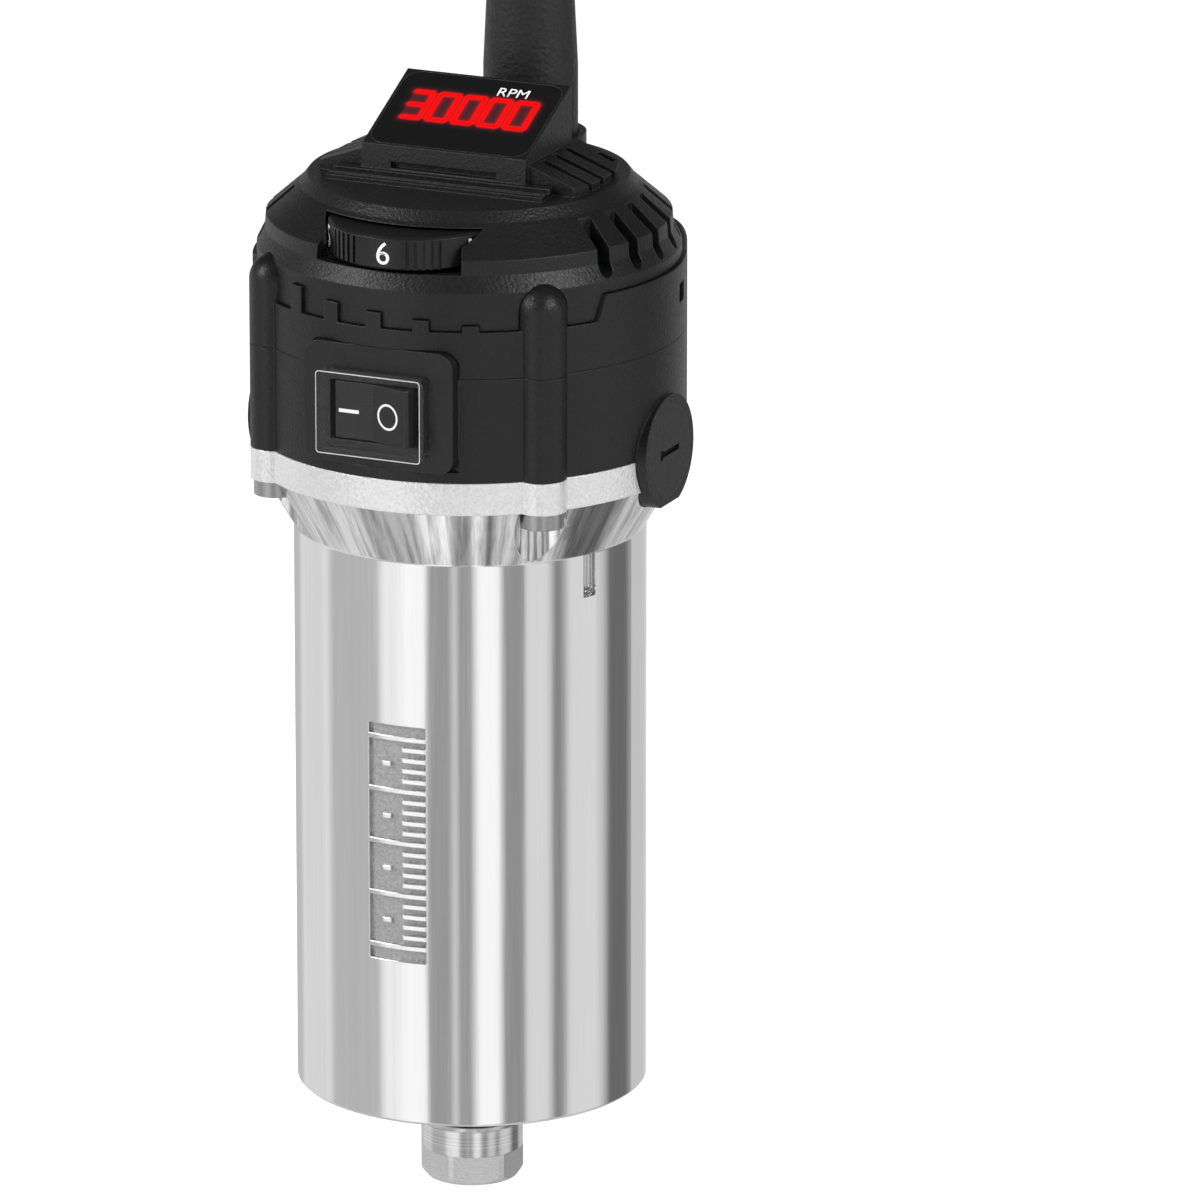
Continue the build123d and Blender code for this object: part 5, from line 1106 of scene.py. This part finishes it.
@dataclass
class MainsCord:
    """The mains lead from the boot, over the back and wound into a tied hank with its plug.

    The route and the hank lie in an upright plane through the boot. Their sizes are in mm:
    distances are along that plane from the boot, and heights are from the body's lower face.
    """

    finishes: FinishShelf
    diameter: float = 7.2 * MM
    boot_y: float = 27.0 * MM
    direction: tuple[float, float] = (-0.4115, 0.911)
    route: tuple = ((0.0, 255.0), (0.0, 288.0), (24.0, 319.0), (65.0, 324.0), (98.0, 302.0),
                    (107.0, 262.0), (102.0, 215.0), (102.8, 168.0))
    far: float = 102.0
    fold_radius: float = 22.2
    top: float = 122.0
    bottom: float = -1.3
    layers: int = 4
    waist_half: float = 15.5
    waist_height: float = 20.0
    side_points: int = 12
    fold_points: int = 8
    lowest: float = -23.1
    plug_at: float = 30.5
    plug_height: float = 26.0
    length: float = 1.74

    def in_space(self, along: np.ndarray, height: np.ndarray, shift: np.ndarray) -> np.ndarray:
        """Point at a distance along the cord's plane, a height and a shift across it, in mm."""
        x = self.direction[0] * along + self.direction[1] * shift
        y = self.boot_y / MM + self.direction[1] * along - self.direction[0] * shift
        return np.stack([x, y, height], axis=1) * MM

    def side_reach(self) -> float:
        """Height over which a side of a turn leans, from the tie's edge to a fold, in mm."""
        return (self.top - self.bottom - self.waist_height) / 2

    def leaning(self, height: np.ndarray, reach: float, wide: float) -> np.ndarray:
        """Half widths at heights: narrow in the tie, and wide at a reach beyond its edge, in mm."""
        beyond = np.abs(height - (self.top + self.bottom) / 2) - self.waist_height / 2
        share = (1 - np.cos(math.pi * np.clip(beyond / reach, 0, 1))) / 2
        narrow = self.waist_half - self.diameter / MM / 2
        return narrow + (wide - narrow) * share

    def layer(self, along: np.ndarray, height: np.ndarray, shift: float) -> np.ndarray:
        """Points side by side in one layer of the hank, as rows of distance, height and shift."""
        return np.stack([along, height, np.full(len(along), shift)], axis=1)

    def fold(self, middle: float, height: float, radius: float, shift: np.ndarray,
             up: int) -> np.ndarray:
        """Points of a half round that turns under (up -1) or over (up 1) the hank.

        Args:
            middle: Distance of the fold's centre along the cord's plane.
            height: Height of the centre.
            radius: Radius that the curve keeps; its control points lie a little outside it.
            shift: Shift of every point across the plane.
            up: 1 for a fold at the top, from near to far, and -1 at the bottom, from far to near.

        Returns:
            Points as rows of distance, height and shift, in mm.
        """
        half_step = math.pi / 2 / len(shift)
        corner = radius / math.cos(half_step) ** 2
        angle = half_step * (2 * np.arange(len(shift)) + 1)
        across, upward = up * corner * np.cos(angle), up * corner * np.sin(angle)
        return np.stack([middle - across, height + upward, shift], axis=1)

    def turns(self) -> np.ndarray:
        """Points of the hank's turns: waisted sides joined by folds that step over at the top."""
        centre = self.far - self.fold_radius
        pitch = self.diameter / MM
        down = np.linspace(self.top, self.bottom, self.side_points)
        half = self.leaning(down, self.side_reach(), self.fold_radius)
        points = []
        for shift in -pitch * np.arange(self.layers - 1):
            flat = np.full(self.fold_points, shift)
            step = flat - pitch * (np.arange(self.fold_points) + 0.5) / self.fold_points
            points += [self.layer(centre + half, down, shift),
                       self.fold(centre, self.bottom, self.fold_radius, flat, -1),
                       self.layer(centre - half[::-1], down[::-1], shift),
                       self.fold(centre, self.top, self.fold_radius, step, 1)]
        return np.concatenate(points)

    def tail(self) -> np.ndarray:
        """Points of the last length: down the tie, round under the hank and up into the plug."""
        shift = -(self.layers - 1) * self.diameter / MM
        middle, radius = (self.far + self.plug_at) / 2, (self.far - self.plug_at) / 2
        height = self.lowest + radius
        down = np.linspace(self.top, height, self.side_points - 1)
        centre = self.far - self.fold_radius
        above = down > (self.top + self.bottom) / 2
        edge = (self.top + self.bottom - self.waist_height) / 2
        half = np.where(above, self.leaning(down, self.side_reach(), self.fold_radius),
                        self.leaning(down, edge - height, self.fold_radius))
        plug = self.layer(np.full(2, self.plug_at), np.array([height, self.plug_height]), shift)
        fold = self.fold(middle, height, radius, np.full(self.fold_points, shift), -1)
        return np.concatenate([self.layer(centre + half, down, shift), fold, plug])

    def line(self) -> np.ndarray:
        """All control points of the cord in metres: the free route, the turns and the tail."""
        free = np.array([(along, height, 0.0) for along, height in self.route])
        every = np.concatenate([free, self.turns(), self.tail()])
        return self.in_space(every[:, 0], every[:, 1], every[:, 2])

    def build(self) -> None:
        points = self.line()
        curve = bpy.data.curves.new("mains_cord", "CURVE")
        curve.dimensions = "3D"
        curve.bevel_depth = self.diameter / 2
        curve.bevel_resolution = 6
        curve.resolution_u = 8
        curve.use_fill_caps = True
        spline = curve.splines.new("NURBS")
        spline.points.add(len(points) - 1)
        rows = np.concatenate([points, np.ones((len(points), 1))], axis=1)
        spline.points.foreach_set("co", rows.ravel())
        spline.order_u = 3
        spline.use_endpoint_u = True
        cord = bpy.data.objects.new("mains_cord", curve)
        bpy.context.scene.collection.objects.link(cord)
        self.finishes.dress(cord, "cord_sheath")
        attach(cord, Body.HOUSING.value)
        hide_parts("power_cord", "cord_hank", "cord_tail")
        LOG.info("laid %s over %d points", cord.name, len(points))


@dataclass(frozen=True)
class Panel:
    """Upright card beside the motor that polished metal mirrors.

    Its middle, half width and soft border are angles from the camera's direction, in degrees to the
    right, and its level is how bright it looks.
    """

    middle: float
    half: float
    border: float
    level: float


@dataclass
class Studio:
    """Camera, floor, world and lamps."""

    azimuth: float = 24.3
    elevation: float = 16.514
    distance: float = 2198 * MM
    aim_shift: float = 23.883 * MM
    aim_z: float = 91.16 * MM
    lens: float = 357.4
    floor_z: float = -50 * MM
    floor_half: float = 6.0
    floor_thick: float = 1 * MM
    lit_z: float = 90 * MM
    even_light: float = 0.5
    room_above: float = 0.06
    room_fade: tuple[float, float] = (0.0, 0.35)

    def camera(self) -> None:
        """Places the camera on the photograph's line of sight."""
        turn, rise = math.radians(self.azimuth), math.radians(self.elevation)
        aim = np.array([self.aim_shift * math.cos(turn), self.aim_shift * math.sin(turn),
                        self.aim_z])
        level = math.cos(rise)
        towards = np.array([math.sin(turn) * level, -math.cos(turn) * level, math.sin(rise)])
        data = bpy.data.cameras.new("camera")
        data.lens = self.lens
        data.sensor_width = 36.0
        data.clip_end = 20.0
        camera = bpy.data.objects.new("camera", data)
        camera.location = aim + towards * self.distance
        camera.rotation_euler = (math.pi / 2 - rise, 0.0, turn)
        bpy.context.scene.collection.objects.link(camera)
        bpy.context.scene.camera = camera

    def cards(self) -> tuple[Panel, ...]:
        """Returns the grey cards by their angle; a later one covers an earlier, over white."""
        return (Panel(-180, 36, 12, 0.50), Panel(-126, 20, 16, 0.68), Panel(-83, 23, 8, 0.47),
                Panel(-52, 5, 10, 0.84), Panel(-14.5, 13.5, 2, 0.32), Panel(-3, 6, 6, 0.32),
                Panel(-10, 2.2, 2, 0.62), Panel(29, 8.5, 4, 0.28), Panel(46, 9, 4, 0.70),
                Panel(61.5, 7, 5, 0.24), Panel(82, 16, 8, 0.70), Panel(150, 22, 14, 0.56),
                Panel(114, 16, 12, 0.14), Panel(180, 16, 12, 0.70))

    def mirrored(self, nodes: Nodes) -> bpy.types.NodeSocket:
        """Brightness of the surroundings for mirrored rays, by the direction they leave in.

        The angle is the arc tangent of how far the direction reaches to the right and to the
        camera. Cards are laid over white in turn, and above the horizon the room fades to dim.
        """
        turn = math.radians(self.azimuth)
        direction = nodes.add("TexCoord").outputs["Generated"]
        angle = nodes.math("ARCTAN2", nodes.dot(direction, (math.cos(turn), math.sin(turn), 0.0)),
                           nodes.dot(direction, (math.sin(turn), -math.cos(turn), 0.0)))
        degrees = nodes.both(angle, math.degrees(1))
        level = 1.0
        for card in self.cards():
            aside = nodes.math("ABSOLUTE", nodes.math("SUBTRACT", degrees, card.middle))
            inner, outer = card.half - card.border / 2, card.half + card.border / 2
            mask = nodes.between(aside, inner, outer, 1.0, 0.0)
            level = nodes.level(mask, level, card.level)
        rise = nodes.dot(direction, (0.0, 0.0, 1.0))
        return nodes.level(nodes.between(rise, *self.room_fade, 0.0, 1.0), level, self.room_above)

    def world(self) -> None:
        """Makes a pale world: white to the camera, cards to mirrored rays, else even light."""
        world = bpy.data.worlds.new("studio")
        world.use_nodes = True
        nodes = Nodes(world.node_tree)
        background = world.node_tree.nodes["Background"]
        path = nodes.add("LightPath")
        seen = nodes.math("MAXIMUM", path.outputs["Is Camera Ray"],
                          path.outputs["Is Transmission Ray"])
        lit = nodes.level(path.outputs["Is Glossy Ray"], self.even_light, self.mirrored(nodes))
        nodes.feed(background.inputs["Color"], grey(1.0))
        nodes.feed(background.inputs["Strength"], nodes.level(seen, lit, 1.0))
        bpy.context.scene.world = world

    def floor(self) -> None:
        """Makes a wide pale floor."""
        place = Facing((0.0, 0.0, self.floor_z - self.floor_thick), (1, 0, 0), (0, 1, 0))
        corners = rectangle(self.floor_half, self.floor_half)
        floor = slab("studio_floor", corners, self.floor_thick, place)
        material = bpy.data.materials.new("pale_floor")
        material.use_nodes = True
        nodes = Nodes(material.node_tree)
        shader = material.node_tree.nodes["Principled BSDF"]
        shader.inputs["Base Color"].default_value = grey(0.9)
        shader.inputs["Roughness"].default_value = 0.9
        shader.inputs["Emission Color"].default_value = grey(1.0)
        path = nodes.add("LightPath")
        nodes.feed(shader.inputs["Emission Strength"],
                   nodes.between(path.outputs["Is Camera Ray"], 0.0, 1.0, 0.0, 0.35))
        floor.data.materials.append(material)
        floor.visible_glossy = False

    def lamp(self, name: str, place: tuple, size: tuple[float, float], power: float,
             mirrored: bool = True) -> None:
        """Adds a soft rectangular lamp that looks at the middle of the motor.

        Args:
            name: Name of the lamp.
            place: Its middle in metres.
            size: Its width and height in metres.
            power: Its power in watts.
            mirrored: Whether glossy surfaces show it.
        """
        data = bpy.data.lights.new(name, "AREA")
        data.shape = "RECTANGLE"
        data.size, data.size_y = size
        data.energy = power
        lamp = bpy.data.objects.new(name, data)
        lamp.location = place
        lamp.visible_glossy = mirrored
        x, y, z = np.array([0.0, 0.0, self.lit_z]) - np.array(place)
        tip = math.atan2(math.hypot(x, y), -z)
        lamp.rotation_euler = (tip, 0.0, math.atan2(y, x) - math.pi / 2)
        bpy.context.scene.collection.objects.link(lamp)

    def build(self) -> None:
        """Sets up the whole studio."""
        bpy.context.scene.view_settings.view_transform = "Standard"
        self.camera()
        self.world()
        self.floor()
        self.lamp("left_soft", (-0.9, -0.9, 0.9), (0.6, 0.6), 9.0)
        self.lamp("right_soft", (1.1, -0.3, 0.8), (0.4, 0.6), 7.0)
        self.lamp("top_soft", (0.1, -0.3, 1.3), (0.8, 0.8), 8.0, mirrored=False)
        LOG.info("studio ready")


def main() -> None:
    """Builds the motor's looks in order."""
    logging.basicConfig(level=logging.INFO, format="%(message)s")
    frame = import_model()
    finishes = FinishShelf(SharedEffects())
    PackedSolids(finishes).dress(frame)
    RockerMarks(finishes).build()
    CoverEdge(finishes).build()
    BrushSprings(finishes).build()
    DialNumbers(finishes).build()
    ReadOut(finishes).build()
    MainsCord(finishes).build()
    Studio().build()


if __name__ == "__main__":
    main()
